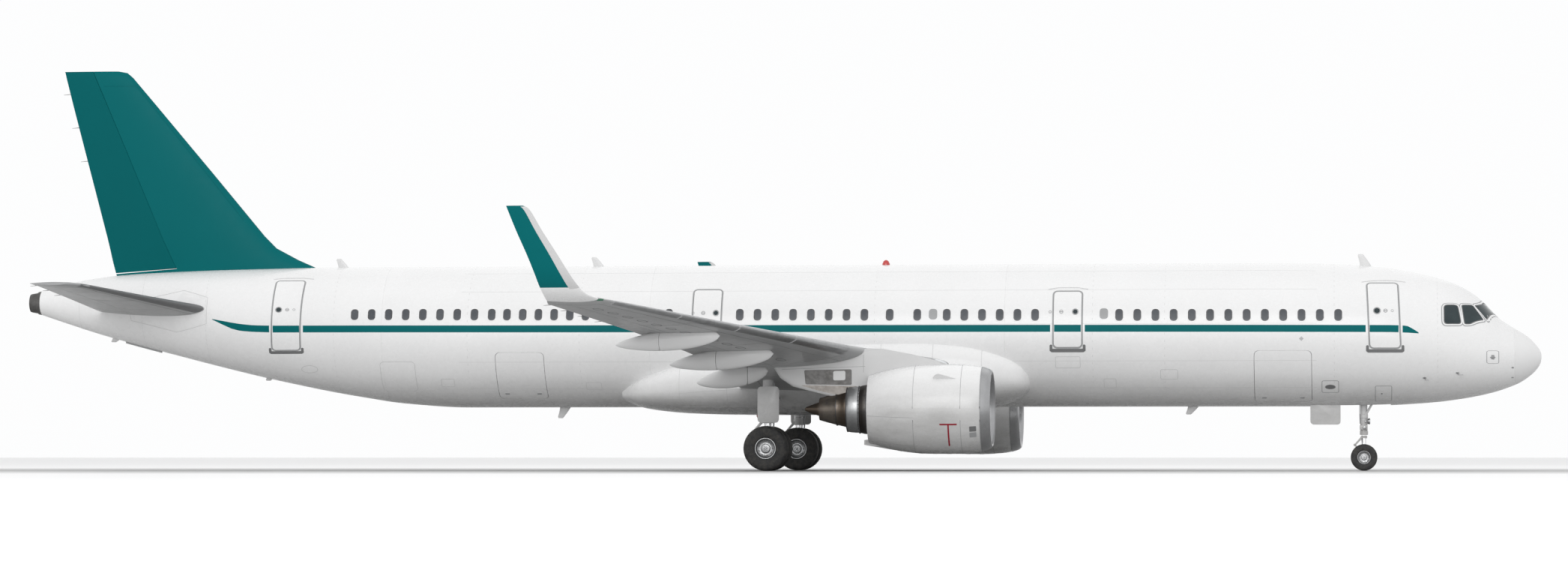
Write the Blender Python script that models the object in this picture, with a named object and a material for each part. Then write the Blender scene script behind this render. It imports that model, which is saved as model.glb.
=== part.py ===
"""Twin-engined single-aisle airliner, parked on its landing gear, as a 1:2 scale model.

All dimensions below are those of the full-size aircraft, in metres. Everything hangs from one
empty whose scale is MODEL_SCALE, so the finished part is half that size. Stations are distances
aft of the nose tip. +X is forward, +Y is left (port) and +Z is up, with z = 0 at the ground.
"""

import math

import bmesh
import bpy
from mathutils import Matrix, Vector

# Scale, frame and clearances
MODEL_SCALE = 0.5
LENGTH = 44.51
NOSE_X = LENGTH / 2
GAP = 0.0006            # between fixed pieces that touch, 0.3 mm on the model
CLEAR = 0.012           # around moving pieces, 6 mm on the model
END_CLEAR = 0.03        # at the ends of flaps and control surfaces
SMOOTH_ANGLE = math.radians(32)
ROD_SIDES = 12

# Fuselage
BODY_SIDES = 36
BODY_HALF_WIDTH = 1.975
RADOME_END = 0.78
FORWARD_END = 15.3
CENTRE_END = 25.6
AFT_END = 33.5
CONE_END = 44.17
EXHAUST_RADIUS = 0.27
EXHAUST_BORE = 0.21
EXHAUST_BORE_DEPTH = 0.25
EXHAUST_SIDES = 24

# Upper, lower and side outlines of the fuselage: (station, value)
TOP_LINE = (
    (0.0, 3.28), (0.06, 3.44), (0.15, 3.6), (0.36, 3.82), (0.58, 3.97), (0.79, 4.095), (1.0, 4.23),
    (1.22, 4.385), (1.43, 4.595), (1.64, 4.825), (1.85, 5.015), (2.07, 5.165), (2.49, 5.38), (2.93, 5.53),
    (3.78, 5.73), (4.63, 5.86), (5.71, 5.94), (6.78, 5.975), (8.0, 5.99), (34.2, 5.99), (35.93, 5.985),
    (37.78, 5.965), (39.84, 5.9), (41.9, 5.78), (43.15, 5.59), (44.17, 5.33),
)
BOTTOM_LINE = (
    (0.0, 3.24), (0.06, 3.06), (0.15, 2.89), (0.36, 2.695), (0.58, 2.545), (0.79, 2.445), (1.22, 2.29),
    (1.64, 2.18), (2.07, 2.095), (2.49, 2.03), (2.93, 1.975), (3.78, 1.91), (4.63, 1.87), (5.71, 1.852),
    (6.78, 1.85), (31.24, 1.85), (33.17, 1.97), (34.3, 2.135), (35.42, 2.33), (36.55, 2.56), (37.68, 2.81),
    (39.94, 3.375), (42.27, 4.0), (43.41, 4.36), (44.17, 4.615),
)
SIDE_LINE = (
    (0.0, 0.02), (0.06, 0.24), (0.15, 0.4), (0.36, 0.66), (0.58, 0.86), (0.79, 1.01), (1.22, 1.24),
    (1.64, 1.42), (2.07, 1.56), (2.49, 1.67), (2.93, 1.76), (3.78, 1.87), (4.63, 1.93), (5.71, 1.965),
    (6.78, 1.975), (31.24, 1.975), (33.17, 1.93), (35.42, 1.75), (37.68, 1.46), (39.94, 1.1), (41.9, 0.75),
    (43.15, 0.53), (44.17, 0.355),
)
WIDEST_LINE = (
    (0.0, 3.26), (0.58, 3.29), (1.64, 3.405), (2.93, 3.635), (4.63, 3.83), (6.78, 3.91), (31.24, 3.92),
    (35.42, 4.2), (39.94, 4.65), (44.17, 4.97),
)

# Belly fairing: (station, half width, bottom, top)
FAIRING_STATIONS = (
    (14.55, 0.7, 2.3, 2.7), (15.0, 1.62, 2.0, 3.05), (15.7, 2.02, 1.83, 3.4), (16.6, 2.2, 1.68, 3.66),
    (17.8, 2.27, 1.62, 3.76), (21.5, 2.27, 1.62, 3.76), (23.4, 2.24, 1.63, 3.6), (24.8, 2.12, 1.68, 3.25),
    (25.8, 1.85, 1.8, 2.85), (26.4, 1.2, 2.0, 2.5),
)
FAIRING_SIDES = 28
FAIRING_POWER = 2.7

# Doors: (name, station of the centre, width, sill height, head height)
DOOR_RADIUS = 0.14
DOOR_DEPTH = 0.12
PASSENGER_DOORS = (
    ("1", 4.5, 0.86, 3.42, 5.32),
    ("2", 13.49, 0.86, 3.42, 5.24),
    ("3", 23.92, 0.8, 3.82, 5.24),
    ("4", 36.28, 0.86, 3.44, 5.3),
)
HOLD_DOORS = (
    ("hold_door_forward", 7.36, 1.62, 1.98, 3.42),
    ("hold_door_aft", 29.42, 1.42, 2.1, 3.42),
)

# Cockpit glazing, as seen from the side: (station, height)
COCKPIT_BAND = ((1.3, 4.4), (2.78, 4.22), (2.86, 4.78), (2.3, 4.84), (1.62, 4.82))
GLASS_DEPTH = 0.05

# Wing ribs: (y, station of the leading edge, of the trailing edge, height of each, thickness)
WING_RIBS = (
    (1.2, 16.26, 22.9, 2.88, 2.28, 0.14), (2.6, 17.05, 22.9, 3.01, 2.42, 0.135),
    (4.4, 18.07, 22.94, 3.19, 2.7, 0.126), (6.4, 19.2, 23.0, 3.4, 2.97, 0.118),
    (8.3, 20.27, 23.65, 3.61, 3.31, 0.114), (11.2, 21.9, 24.65, 3.92, 3.77, 0.11),
    (14.0, 23.49, 25.61, 4.24, 4.15, 0.106), (16.3, 24.8, 26.4, 4.5, 4.45, 0.1),
)
RIB_POINTS = 7
TRAILING_HALF = 0.006
# Winglet ribs: (y, station of the leading edge, chord, height, cant in degrees, thickness)
WINGLET_RIBS = (
    (16.3, 24.8, 1.6, 4.5, 0.0, 0.1), (16.72, 25.03, 1.5, 4.6, 22.0, 0.1),
    (17.08, 25.22, 1.38, 4.82, 42.0, 0.1), (17.33, 25.42, 1.24, 5.15, 60.0, 0.1),
    (17.5, 25.68, 1.06, 5.6, 71.0, 0.1), (17.7, 26.04, 0.82, 6.2, 74.0, 0.1),
    (17.86, 26.33, 0.6, 6.72, 75.0, 0.1), (17.9, 26.5, 0.44, 6.84, 75.0, 0.08),
)

# Flaps: plan corners of the front face, and the dropped hinge axis: (station, y, height)
FLAP_INBOARD_FRONT = ((22.2, 2.4), (22.2, 6.25))
FLAP_INBOARD_AXIS = ((22.2, 2.4, 2.03), (22.2, 5.9, 2.47))
FLAP_OUTBOARD_FRONT = ((22.17, 6.95), (24.36, 12.4))
FLAP_OUTBOARD_AXIS = ((22.71, 8.3, 2.83), (23.88, 11.2, 3.3))
FLAP_REACH = 3.0
# Flap-track fairings: (y, front station, aft station, front height, aft height, radius)
TRACK_FAIRINGS = (
    (5.9, 21.65, 23.66, 2.8, 2.47, 0.31),
    (8.3, 21.2, 24.09, 3.23, 2.93, 0.3),
    (11.2, 22.3, 25.14, 3.65, 3.41, 0.28),
)
TRACK_SIDES = 8
TRACK_STEPS = 8
TRACK_NARROWING = 0.6
BARREL_RADIUS = 0.05
BARREL_LENGTH = 0.24
BARREL_SIDES = 24

# Control surfaces: hinge ends (station, y, height) and nose radius
AILERON_HINGE = ((24.56, 12.75, 4.01), (25.74, 15.7, 4.385))
AILERON_NOSE = 0.13
ELEVATOR_HINGE = ((41.15, 1.35, 4.78), (42.32, 6.0, 5.31))
ELEVATOR_NOSE = 0.13
RUDDER_HINGE = ((40.18, 0.0, 5.96), (42.92, 0.0, 12.02))
RUDDER_NOSE = 0.2
HINGE_PIN = 0.02
HINGE_PIN_LENGTH = 0.15
CONTROL_REACH = 4.0

# Tailplane ribs: (y, leading edge, trailing edge, height, thickness)
TAILPLANE_RIBS = (
    (0.4, 38.48, 42.15, 4.66, 0.11), (1.0, 38.8, 42.22, 4.72, 0.11), (3.2, 39.98, 42.42, 4.98, 0.1),
    (5.7, 41.2, 42.68, 5.27, 0.095), (6.1, 41.5, 42.76, 5.315, 0.09), (6.22, 41.78, 42.8, 5.33, 0.08),
)
# Fin ribs: (height, leading edge, trailing edge, thickness)
FIN_RIBS = (
    (5.5, 35.01, 41.83, 0.075), (6.0, 35.89, 41.97, 0.085), (6.22, 36.39, 42.03, 0.09),
    (6.57, 37.05, 42.11, 0.098), (6.93, 37.41, 42.2, 0.105), (8.75, 38.94, 42.69, 0.105),
    (10.83, 40.71, 43.25, 0.1), (11.68, 41.44, 43.47, 0.1), (11.82, 41.61, 43.5, 0.085),
    (11.87, 41.87, 43.52, 0.06),
)

# Engines
ENGINE_Y = 5.75
ENGINE_Z = 1.73
ENGINE_SIDES = 28
# Outer and inner nacelle outlines, each (station, radius)
LIP_JOINT = 15.62
LIP_OUTLINE = (
    (15.62, 1.175), (15.47, 1.13), (15.385, 1.08), (15.35, 1.03), (15.375, 0.975), (15.45, 0.93),
    (15.62, 0.895),
)
COWL_OUTLINE = (
    (15.62, 1.175), (15.95, 1.222), (16.5, 1.25), (17.2, 1.245), (17.8, 1.19), (18.3, 1.09), (18.8, 0.95),
    (18.8, 0.93), (18.2, 1.0), (17.5, 1.03), (16.9, 0.98), (16.45, 0.89), (15.62, 0.895),
)
FAN_STATION = 16.3
FAN_RADIUS = 0.868
FAN_HUB = 0.27
FAN_BLADES = 18
FAN_DEPTH = 0.17
SPINNER_LENGTH = 0.42
CORE_OUTLINE = (
    (FAN_STATION + FAN_DEPTH / 2 + GAP, 0.24), (16.7, 0.46), (17.3, 0.62), (18.3, 0.69), (18.9, 0.7),
    (19.42, 0.64), (19.42, 0.5), (20.2, 0.31), (20.2, 0.21), (20.45, 0.12), (20.62, 0.03),
)
VANES = 7
# Cowl strake: angle above level, side outline as (station, height over the skin), thickness
STRAKE_ANGLE = 42.0
STRAKE_OUTLINE = ((16.31, -0.04), (16.82, 0.2), (16.94, 0.05), (16.94, -0.04))
STRAKE_THICKNESS = 0.03
# Pylon side outline: (station, height)
PYLON_OUTLINE = (
    (16.4, 2.9), (16.9, 3.08), (17.6, 3.26), (18.4, 3.41), (18.85, 3.43), (19.4, 3.28), (21.55, 3.05),
    (21.5, 2.9), (21.3, 2.6), (20.95, 2.36), (20.3, 2.2), (19.5, 2.0), (16.4, 2.0),
)
PYLON_HALF_WIDTH = 0.2

# Blade aerials: (section, station of the root's leading edge, root height, tip height)
AERIALS = (
    ("forward_fuselage", 4.82, 5.85, 6.24),
    ("aft_fuselage", 27.2, 5.94, 6.26),
    ("tail_cone", 34.84, 5.93, 6.25),
    ("forward_fuselage", 9.78, 1.9, 1.62),
    ("aft_fuselage", 28.19, 1.9, 1.53),
)
AERIAL_CHORD = 0.34
AERIAL_TIP_CHORD = 0.16
AERIAL_SWEEP = 0.26
AERIAL_THICKNESS = 0.045

# Landing gear
NOSE_GEAR = 5.07
NOSE_TYRE_RADIUS = 0.381
NOSE_TYRE_WIDTH = 0.224
NOSE_TRACK = 0.5
MAIN_GEAR = 21.9
MAIN_GEAR_Y = 3.795
MAIN_TYRE_RADIUS = 0.635
MAIN_TYRE_WIDTH = 0.455
MAIN_TRACK = 0.93
TYRE_SIDES = 24
NOSE_SHAFT = 0.04
MAIN_SHAFT = 0.07
SHAFT_GAP = 0.0016
# Jacking pads: (station, y, height of the flat face)
JACKING_PAD_RADIUS = 0.07
JACKING_PAD_NOSE = (6.6, 0.0, 1.79)
JACKING_PAD_WING = (21.2, 4.6, 2.6)
# Nose gear bay: front and aft station, half width, roof height, and the cutter's lower end
NOSE_BAY = (4.3, 5.75, 0.36, 2.75)
NOSE_BAY_FOOT = 1.0
NOSE_STEER_Z = 1.02
NOSE_LEG_RADIUS = 0.11
NOSE_BRACE_FOOT = 1.5
NOSE_BRACE_RADIUS = 0.05
NOSE_BRACE_INSET = 0.11
NOSE_STRUT_RADIUS = 0.075
NOSE_EYE = (0.12, 0.085)                # half length, radius
NOSE_HUB_RADIUS = 0.19
# Nose gear doors: thickness, start aft of the bay's aft wall, length, lower and upper edge
NOSE_DOOR = (0.035, -0.02, 0.88, 1.32, 2.1)
# Torque links: depth of the knee, heights of the lower joint, knee and upper joint, half width, half height
NOSE_LINK = (0.26, 0.5, 0.74, 0.96, 0.04, 0.03)
MAIN_LINK = (0.42, 0.75, 1.12, 1.45, 0.06, 0.04)
MAIN_LEG_TOP = 2.7
MAIN_STRUT_RADIUS = 0.11
MAIN_CYLINDER = (1.35, 0.16)            # lower end, radius
MAIN_EYE = (0.2, 0.13)                  # half length, radius
MAIN_BRACE = (1.7, 0.1, 2.7, 2.52, 0.06)    # foot height, forward reach, head y and height, radius
MAIN_DOOR_LINK = (1.95, 0.05)           # height, radius
# Main leg door: aft and forward reach, lower and upper edge, distance outboard, thickness
MAIN_DOOR = (0.28, 0.34, 1.36, 2.4, 0.2, 0.04)
MAIN_HUB_RADIUS = 0.3
RIM_SHARE = 0.42

WHITE = ("paint_white", (0.82, 0.83, 0.84), 0.28, 0.0)
GREY = ("paint_grey", (0.42, 0.44, 0.46), 0.35, 0.0)
TEAL = ("paint_teal", (0.006, 0.16, 0.165), 0.28, 0.0)
POLISHED = ("polished_metal", (0.75, 0.75, 0.76), 0.18, 1.0)
STEEL = ("bare_steel", (0.5, 0.5, 0.5), 0.4, 0.9)
HOT_METAL = ("hot_metal", (0.13, 0.1, 0.08), 0.45, 0.8)
TITANIUM = ("titanium", (0.3, 0.3, 0.31), 0.35, 0.9)
GLASS = ("cockpit_glass", (0.02, 0.025, 0.03), 0.08, 0.0)
RUBBER = ("tyre_rubber", (0.025, 0.025, 0.025), 0.8, 0.0)


def read_line(table, station):
    """Value of an outline at a station, on a monotone cubic through its points."""
    last = len(table) - 1
    if station <= table[0][0]:
        return table[0][1]
    if station >= table[last][0]:
        return table[last][1]
    rises = [(b[1] - a[1]) / (b[0] - a[0]) for a, b in zip(table, table[1:])]
    i = max(k for k in range(last) if table[k][0] <= station)

    def slope(k):
        if k == 0 or k == last:
            return rises[min(k, last - 1)]
        before, after = rises[k - 1], rises[k]
        if before * after <= 0:
            return 0.0
        return 2 * before * after / (before + after)

    width = table[i + 1][0] - table[i][0]
    t = (station - table[i][0]) / width
    value = table[i][1] * (1 + 2 * t) * (1 - t) ** 2 + table[i + 1][1] * t * t * (3 - 2 * t)
    return value + width * (slope(i) * t * (1 - t) ** 2 - slope(i + 1) * t * t * (1 - t))


def place(station, y, z):
    return Vector((NOSE_X - station, y, z))


def clear_scene():
    for obj in list(bpy.data.objects):
        bpy.data.objects.remove(obj, do_unlink=True)


def make_material(finish):
    name, colour, roughness, metallic = finish
    material = bpy.data.materials.get(name)
    if material is None:
        material = bpy.data.materials.new(name)
        material.use_nodes = True
        shader = material.node_tree.nodes["Principled BSDF"]
        shader.inputs["Base Color"].default_value = (*colour, 1.0)
        shader.inputs["Roughness"].default_value = roughness
        shader.inputs["Metallic"].default_value = metallic
    return material


def make_root():
    root = bpy.data.objects.new("airliner_frame", None)
    root.scale = (MODEL_SCALE,) * 3
    bpy.context.scene.collection.objects.link(root)
    return root


def add_object(name, bm, finish):
    """Close a bmesh into an object under the frame empty, shaded smooth up to its edges."""
    bmesh.ops.recalc_face_normals(bm, faces=bm.faces)
    if bm.calc_volume(signed=True) < 0:
        bmesh.ops.reverse_faces(bm, faces=bm.faces)
    mesh = bpy.data.meshes.new(name)
    bm.to_mesh(mesh)
    bm.free()
    mesh.shade_smooth()
    mesh.set_sharp_from_angle(angle=SMOOTH_ANGLE)
    mesh.materials.append(make_material(finish))
    return add_mesh(name, mesh)


def add_mesh(name, mesh):
    obj = bpy.data.objects.new(name, mesh)
    obj.parent = bpy.data.objects["airliner_frame"]
    bpy.context.scene.collection.objects.link(obj)
    return obj


def copy_object(name, source, finish=None):
    """A second object on a copy of the first one's plain mesh."""
    mesh = source.data.copy()
    mesh.name = name
    if finish:
        mesh.materials.clear()
        mesh.materials.append(make_material(finish))
    return add_mesh(name, mesh)


def as_tool(obj):
    obj.hide_render = True
    obj.display_type = "WIRE"
    return obj


def apply_tool(obj, tool, operation):
    modifier = obj.modifiers.new(tool.name, "BOOLEAN")
    modifier.operation = operation
    modifier.object = tool
    modifier.solver = "EXACT"
    as_tool(tool)


def cut(obj, *tools):
    for tool in tools:
        apply_tool(obj, tool, "DIFFERENCE")


def keep_inside(obj, *tools):
    for tool in tools:
        apply_tool(obj, tool, "INTERSECT")


def fuse(obj, *tools):
    for tool in tools:
        apply_tool(obj, tool, "UNION")


def set_origin(obj, point):
    """Put an object's origin on its joint's axis without moving its shape."""
    obj.data.transform(Matrix.Translation(-point))
    obj.location = point


def loft(name, rings, finish):
    """Extrude a face from ring to ring and close both ends.

    The sides are split the same way each time, so that a seat cut with a larger copy fits."""
    bm = bmesh.new()
    first = [bm.verts.new(point) for point in rings[0]]
    face = bm.faces.new(first)
    for ring in rings[1:]:
        face = bmesh.ops.extrude_discrete_faces(bm, faces=[face])["faces"][0]
        for vert, point in zip(face.verts, ring):
            vert.co = point
    sides = [side for side in bm.faces if side is not face]
    bmesh.ops.triangulate(bm, faces=sides, quad_method="FIXED")
    bm.faces.new(list(reversed(first)))
    return add_object(name, bm, finish)


def prism(name, outline, offset, finish=WHITE):
    """A flat outline of points pushed through by one vector."""
    low = [point.copy() for point in outline]
    high = [point + offset for point in outline]
    return loft(name, [low, high], finish)


def box(name, low, high, finish=WHITE):
    corners = [Vector((x, y, low[2])) for x, y in
               ((low[0], low[1]), (high[0], low[1]), (high[0], high[1]), (low[0], high[1]))]
    return prism(name, corners, Vector((0, 0, high[2] - low[2])), finish)


def rod(name, start, end, radius, finish, sides=ROD_SIDES):
    """A round bar between two points."""
    axis = end - start
    bm = bmesh.new()
    bmesh.ops.create_cone(
        bm, cap_ends=True, segments=sides, radius1=radius, radius2=radius, depth=axis.length)
    turn = axis.to_track_quat("Z", "Y").to_matrix().to_4x4()
    bm.transform(Matrix.Translation((start + end) / 2) @ turn)
    return add_object(name, bm, finish)


def turned(name, outline, centre, axis, sides, finish, closed=False, phase=0.0):
    """Spin an outline of (distance along the axis, radius) points about a level axis through centre."""
    along, out = Vector(axis), Vector((0, 0, 1))
    bm = bmesh.new()
    verts = [bm.verts.new(centre + along * distance + out * radius) for distance, radius in outline]
    pairs = list(zip(verts, verts[1:]))
    if closed:
        pairs.append((verts[-1], verts[0]))
    edges = [bm.edges.new(pair) for pair in pairs]
    if phase:
        bmesh.ops.rotate(bm, verts=verts, cent=centre, matrix=Matrix.Rotation(phase, 3, along))
    bmesh.ops.spin(bm, geom=verts + edges, cent=centre, axis=along, angle=math.tau, steps=sides,
                   use_merge=True)
    bmesh.ops.remove_doubles(bm, verts=bm.verts, dist=1e-5)
    return add_object(name, bm, finish)


def body_ring(station, margin=0.0):
    """One fuselage frame: two half ellipses that meet at the widest line."""
    top = read_line(TOP_LINE, station) + margin
    bottom = read_line(BOTTOM_LINE, station) - margin
    half = read_line(SIDE_LINE, station) + margin
    middle = read_line(WIDEST_LINE, station)
    ring = []
    for k in range(BODY_SIDES):
        angle = math.tau * (k + 0.5) / BODY_SIDES
        reach = (top - middle) if math.sin(angle) > 0 else (middle - bottom)
        ring.append(place(station, half * math.cos(angle), middle + reach * math.sin(angle)))
    return ring


def body_length(name, start, end, finish, margin=0.0):
    """A length of fuselage between two stations, with frames where its outline bends."""
    knots = sorted({s for table in (TOP_LINE, BOTTOM_LINE, SIDE_LINE) for s, _ in table})
    least = 0.02 if start < FORWARD_END / 8 else 0.55
    stations = [start]
    for knot in knots:
        if start < knot < end and knot - stations[-1] > least and end - knot > least:
            stations.append(knot)
    stations.append(end)
    return loft(name, [body_ring(s, margin) for s in stations], finish)


def skin_point(station, angle, factor, side):
    """A point at a share of the way from the frame's middle out to its skin."""
    middle = read_line(WIDEST_LINE, station)
    edge = read_line(TOP_LINE, station) if angle > 0 else read_line(BOTTOM_LINE, station)
    half = read_line(SIDE_LINE, station)
    return place(station, side * factor * half * math.cos(angle),
                 middle + factor * abs(edge - middle) * math.sin(angle))


def door_tool(name, station, width, low, high, side, grow=0.0, head_grow=None):
    """A block with a door's outline whose edges run square to the skin, from inside it to outside."""
    head_grow = grow if head_grow is None else head_grow
    middle = read_line(WIDEST_LINE, station)
    reach = (read_line(TOP_LINE, station) - read_line(BOTTOM_LINE, station)) / 2
    start = math.asin(max(-0.97, (low - middle) / reach)) - grow / reach
    end = math.asin((high - middle) / reach) + head_grow / reach
    corner = DOOR_RADIUS / reach
    angles = [start + corner * share for share in (0.0, 0.25, 1.0)]
    angles += [end - corner * share for share in (1.0, 0.25, 0.0)]
    rings = []
    for angle in angles:
        from_end = min(angle - start, end - angle) / corner
        inset = DOOR_RADIUS * (1 - math.sqrt(max(0.0, 1 - (1 - min(1.0, from_end)) ** 2)))
        half = width / 2 + grow - inset
        inner = 1 - (DOOR_DEPTH + grow) / reach
        rings.append([skin_point(station + x, angle, factor, side)
                      for x, factor in ((-half, inner), (-half, 1.15), (half, 1.15), (half, inner))])
    return as_tool(loft(name, rings, WHITE))


def skin_y(station, z):
    """Half width of the fuselage at a height."""
    middle = read_line(WIDEST_LINE, station)
    edge = read_line(TOP_LINE, station) if z > middle else read_line(BOTTOM_LINE, station)
    share = min(1.0, abs((z - middle) / (edge - middle)))
    return read_line(SIDE_LINE, station) * math.sqrt(1 - share * share)


def add_door(name, body, plain, station, width, low, high, side, gap):
    """Part a door panel from the plain fuselage length and open its recess in the finished one."""
    door = copy_object(name, plain)
    keep_inside(door, door_tool(name + "_outline", station, width, low, high, side))
    cut(body, door_tool(name + "_recess", station, width, low, high, side, gap, GAP))
    return door


def build_fuselage():
    body_length("radome", 0.0, RADOME_END - GAP, GREY)
    sections = {
        "forward_fuselage": (RADOME_END, FORWARD_END - GAP),
        "centre_fuselage": (FORWARD_END, CENTRE_END - GAP),
        "aft_fuselage": (CENTRE_END, AFT_END - GAP),
        "tail_cone": (AFT_END, CONE_END - GAP),
    }
    made = {name: body_length(name, *ends, WHITE) for name, ends in sections.items()}
    plain = {name: as_tool(copy_object(name + "_plain", obj)) for name, obj in made.items()}
    homes = ("forward_fuselage", "forward_fuselage", "centre_fuselage", "tail_cone")
    for side, letter in ((-1, "right"), (1, "left")):
        for (label, station, width, low, high), home in zip(PASSENGER_DOORS, homes):
            add_door(f"passenger_door_{label}_{letter}", made[home], plain[home],
                     station, width, low, high, side, GAP)
    for (name, station, width, low, high), home in zip(HOLD_DOORS, ("forward_fuselage", "aft_fuselage")):
        door = add_door(name, made[home], plain[home], station, width, low, high, -1, CLEAR)
        set_origin(door, hold_hinge(station, high))
    build_cockpit_glass(made["forward_fuselage"], plain["forward_fuselage"])
    open_nose_bay(made["forward_fuselage"])
    add_jacking_pad("jacking_pad_nose", made["forward_fuselage"], JACKING_PAD_NOSE, 1)
    for number, aerial in enumerate(AERIALS, 1):
        add_aerial(f"aerial_{number}", made[aerial[0]], *aerial[1:])
    reach = LENGTH - CONE_END
    outline = ((0.0, 0.0), (0.0, read_line(SIDE_LINE, CONE_END)), (reach, EXHAUST_RADIUS),
               (reach, EXHAUST_BORE), (reach - EXHAUST_BORE_DEPTH, EXHAUST_BORE),
               (reach - EXHAUST_BORE_DEPTH, 0.0))
    turned("apu_exhaust", outline, place(CONE_END, 0, read_line(WIDEST_LINE, CONE_END)), (-1, 0, 0),
           EXHAUST_SIDES, HOT_METAL)


def add_aerial(name, body, station, root, tip):
    """A swept blade on the centre line, standing up or hanging down."""
    outline = ((station, root), (station + AERIAL_SWEEP, tip),
               (station + AERIAL_SWEEP + AERIAL_TIP_CHORD, tip), (station + AERIAL_CHORD, root))
    side = [place(s, -AERIAL_THICKNESS / 2, z) for s, z in outline]
    fuse(body, as_tool(prism(name, side, Vector((0, AERIAL_THICKNESS, 0)))))


def hold_hinge(station, high):
    """The hinge line of a hold door, on the skin along its upper edge."""
    return place(station, -skin_y(station, high) - CLEAR, high)


def build_cockpit_glass(body, plain):
    """A wrap-around band of glass, let into the nose."""
    across = Vector((0, 2 * BODY_HALF_WIDTH + 1, 0))

    def band(name, grow):
        centre = sum((Vector(corner) for corner in COCKPIT_BAND), Vector((0, 0))) / len(COCKPIT_BAND)
        outline = []
        for s, z in COCKPIT_BAND:
            point = Vector((s, z))
            point += (point - centre).normalized() * grow
            outline.append(place(point.x, -across.y / 2, point.y))
        return as_tool(prism(name, outline, across))

    core = as_tool(body_length("cockpit_core", 0.9, 4.0, WHITE, -GLASS_DEPTH))
    smaller = as_tool(body_length("cockpit_core_recess", 0.9, 4.0, WHITE, -GLASS_DEPTH - GAP))
    glass = copy_object("cockpit_glazing", plain, GLASS)
    keep_inside(glass, band("glass_outline", 0.0))
    cut(glass, core)
    recess = band("glass_recess", GAP)
    cut(recess, smaller)
    cut(body, recess)


def open_nose_bay(body):
    front, aft, half, roof = NOSE_BAY
    low = (NOSE_X - aft, -half, NOSE_BAY_FOOT)
    high = (NOSE_X - front, half, roof)
    cut(body, as_tool(box("nose_bay", low, high)))


def build_belly_fairing():
    def rings(margin):
        result = []
        for station, half, bottom, top in FAIRING_STATIONS:
            middle = (top + bottom) / 2
            ring = []
            for k in range(FAIRING_SIDES):
                angle = math.tau * (k + 0.5) / FAIRING_SIDES
                c, s = math.cos(angle), math.sin(angle)
                y = math.copysign(abs(c) ** (2 / FAIRING_POWER), c) * (half + margin)
                z = math.copysign(abs(s) ** (2 / FAIRING_POWER), s) * ((top - bottom) / 2 + margin)
                ring.append(place(station, y, middle + z))
            result.append(ring)
        return result

    fairing = loft("belly_fairing", rings(0.0), WHITE)
    inner = as_tool(body_length("fuselage_seat", 13.0, 28.0, WHITE, GAP))
    cut(fairing, inner)
    outer = as_tool(loft("fairing_seat", rings(GAP), WHITE))
    return inner, outer


def rib(leading, trailing, up, thickness, margin=0.0):
    """One closed aerofoil from its trailing edge over the top to the nose and back underneath."""
    chord = trailing - leading
    length = chord.length
    forward = -chord.normalized()
    over, under = [], []
    for k in range(RIB_POINTS + 1):
        x = (1 - math.cos(math.pi * k / RIB_POINTS)) / 2
        shape = 0.2969 * math.sqrt(x) - 0.126 * x - 0.3516 * x * x + 0.2843 * x ** 3 - 0.1036 * x ** 4
        half = 5 * thickness * shape * length + x * TRAILING_HALF + margin
        middle = leading + chord * x + forward * (margin * (1 - 2 * x))
        over.append(middle + up * half)
        if k > 0 or margin > 0:
            under.append(middle - up * half)
    return list(reversed(over)) + under


def wing_rings(side, margin=0.0):
    rings = []
    for y, leading, trailing, z_leading, z_trailing, thickness in WING_RIBS:
        ends = place(leading, side * y, z_leading), place(trailing, side * y, z_trailing)
        rings.append(rib(*ends, Vector((0, 0, 1)), thickness, margin))
    return rings


def track_fairing(name, side, y, front, aft, z_front, z_aft, radius):
    """A drooping teardrop, pointed at its aft end."""
    rings = []
    for k in range(TRACK_STEPS + 1):
        t = k / TRACK_STEPS
        girth = radius * max(0.06, math.sin(math.pi * t ** 0.8) ** 0.6)
        centre = place(front + (aft - front) * t, side * y, z_front + (z_aft - z_front) * t)
        rings.append([centre + Vector((0, TRACK_NARROWING * girth * math.cos(a), girth * math.sin(a)))
                      for a in (math.tau * (n + 0.5) / TRACK_SIDES for n in range(TRACK_SIDES))])
    return as_tool(loft(name, rings, WHITE))


def flap_bay(name, side, front, along_gap=0.0, front_gap=0.0):
    """A prism in plan whose ends are square to the hinge line."""
    (s0, y0), (s1, y1) = front
    start, end = Vector((s0, y0)), Vector((s1, y1))
    along = (end - start).normalized()
    aft = Vector((along.y, -along.x))
    start += along * along_gap + aft * front_gap
    end += -along * along_gap + aft * front_gap
    plan = (start, end, end + aft * FLAP_REACH, start + aft * FLAP_REACH)
    outline = [place(p.x, side * p.y, 1.2) for p in plan]
    return as_tool(prism(name, outline, Vector((0, 0, 4.0))))


def control_tool(name, hinge, side, radius, aft, across, end_gap=0.0):
    """A round-nosed block about a hinge line: what is aft of it swings, with a constant gap."""
    start, end = (place(s, side * y, z) for s, y, z in hinge)
    axis = (end - start).normalized()
    start += axis * end_gap
    end -= axis * end_gap
    lean = math.sqrt(1 - axis.dot(aft.normalized()) ** 2)
    steps = 5
    profile = [aft * CONTROL_REACH - across * radius]
    for k in range(steps + 1):
        angle = math.radians(-90 - 180 * k / steps)
        profile.append(aft * (radius * math.cos(angle) / lean) + across * (radius * math.sin(angle)))
    profile.append(aft * CONTROL_REACH + across * radius)
    return as_tool(loft(name, [[end_point + p for p in profile] for end_point in (start, end)], WHITE))


def bore_radius(radius, sides):
    """A bore of flat facets that a turning pin of the same facets stays clear of."""
    return radius / math.cos(math.pi / sides) + GAP


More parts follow.
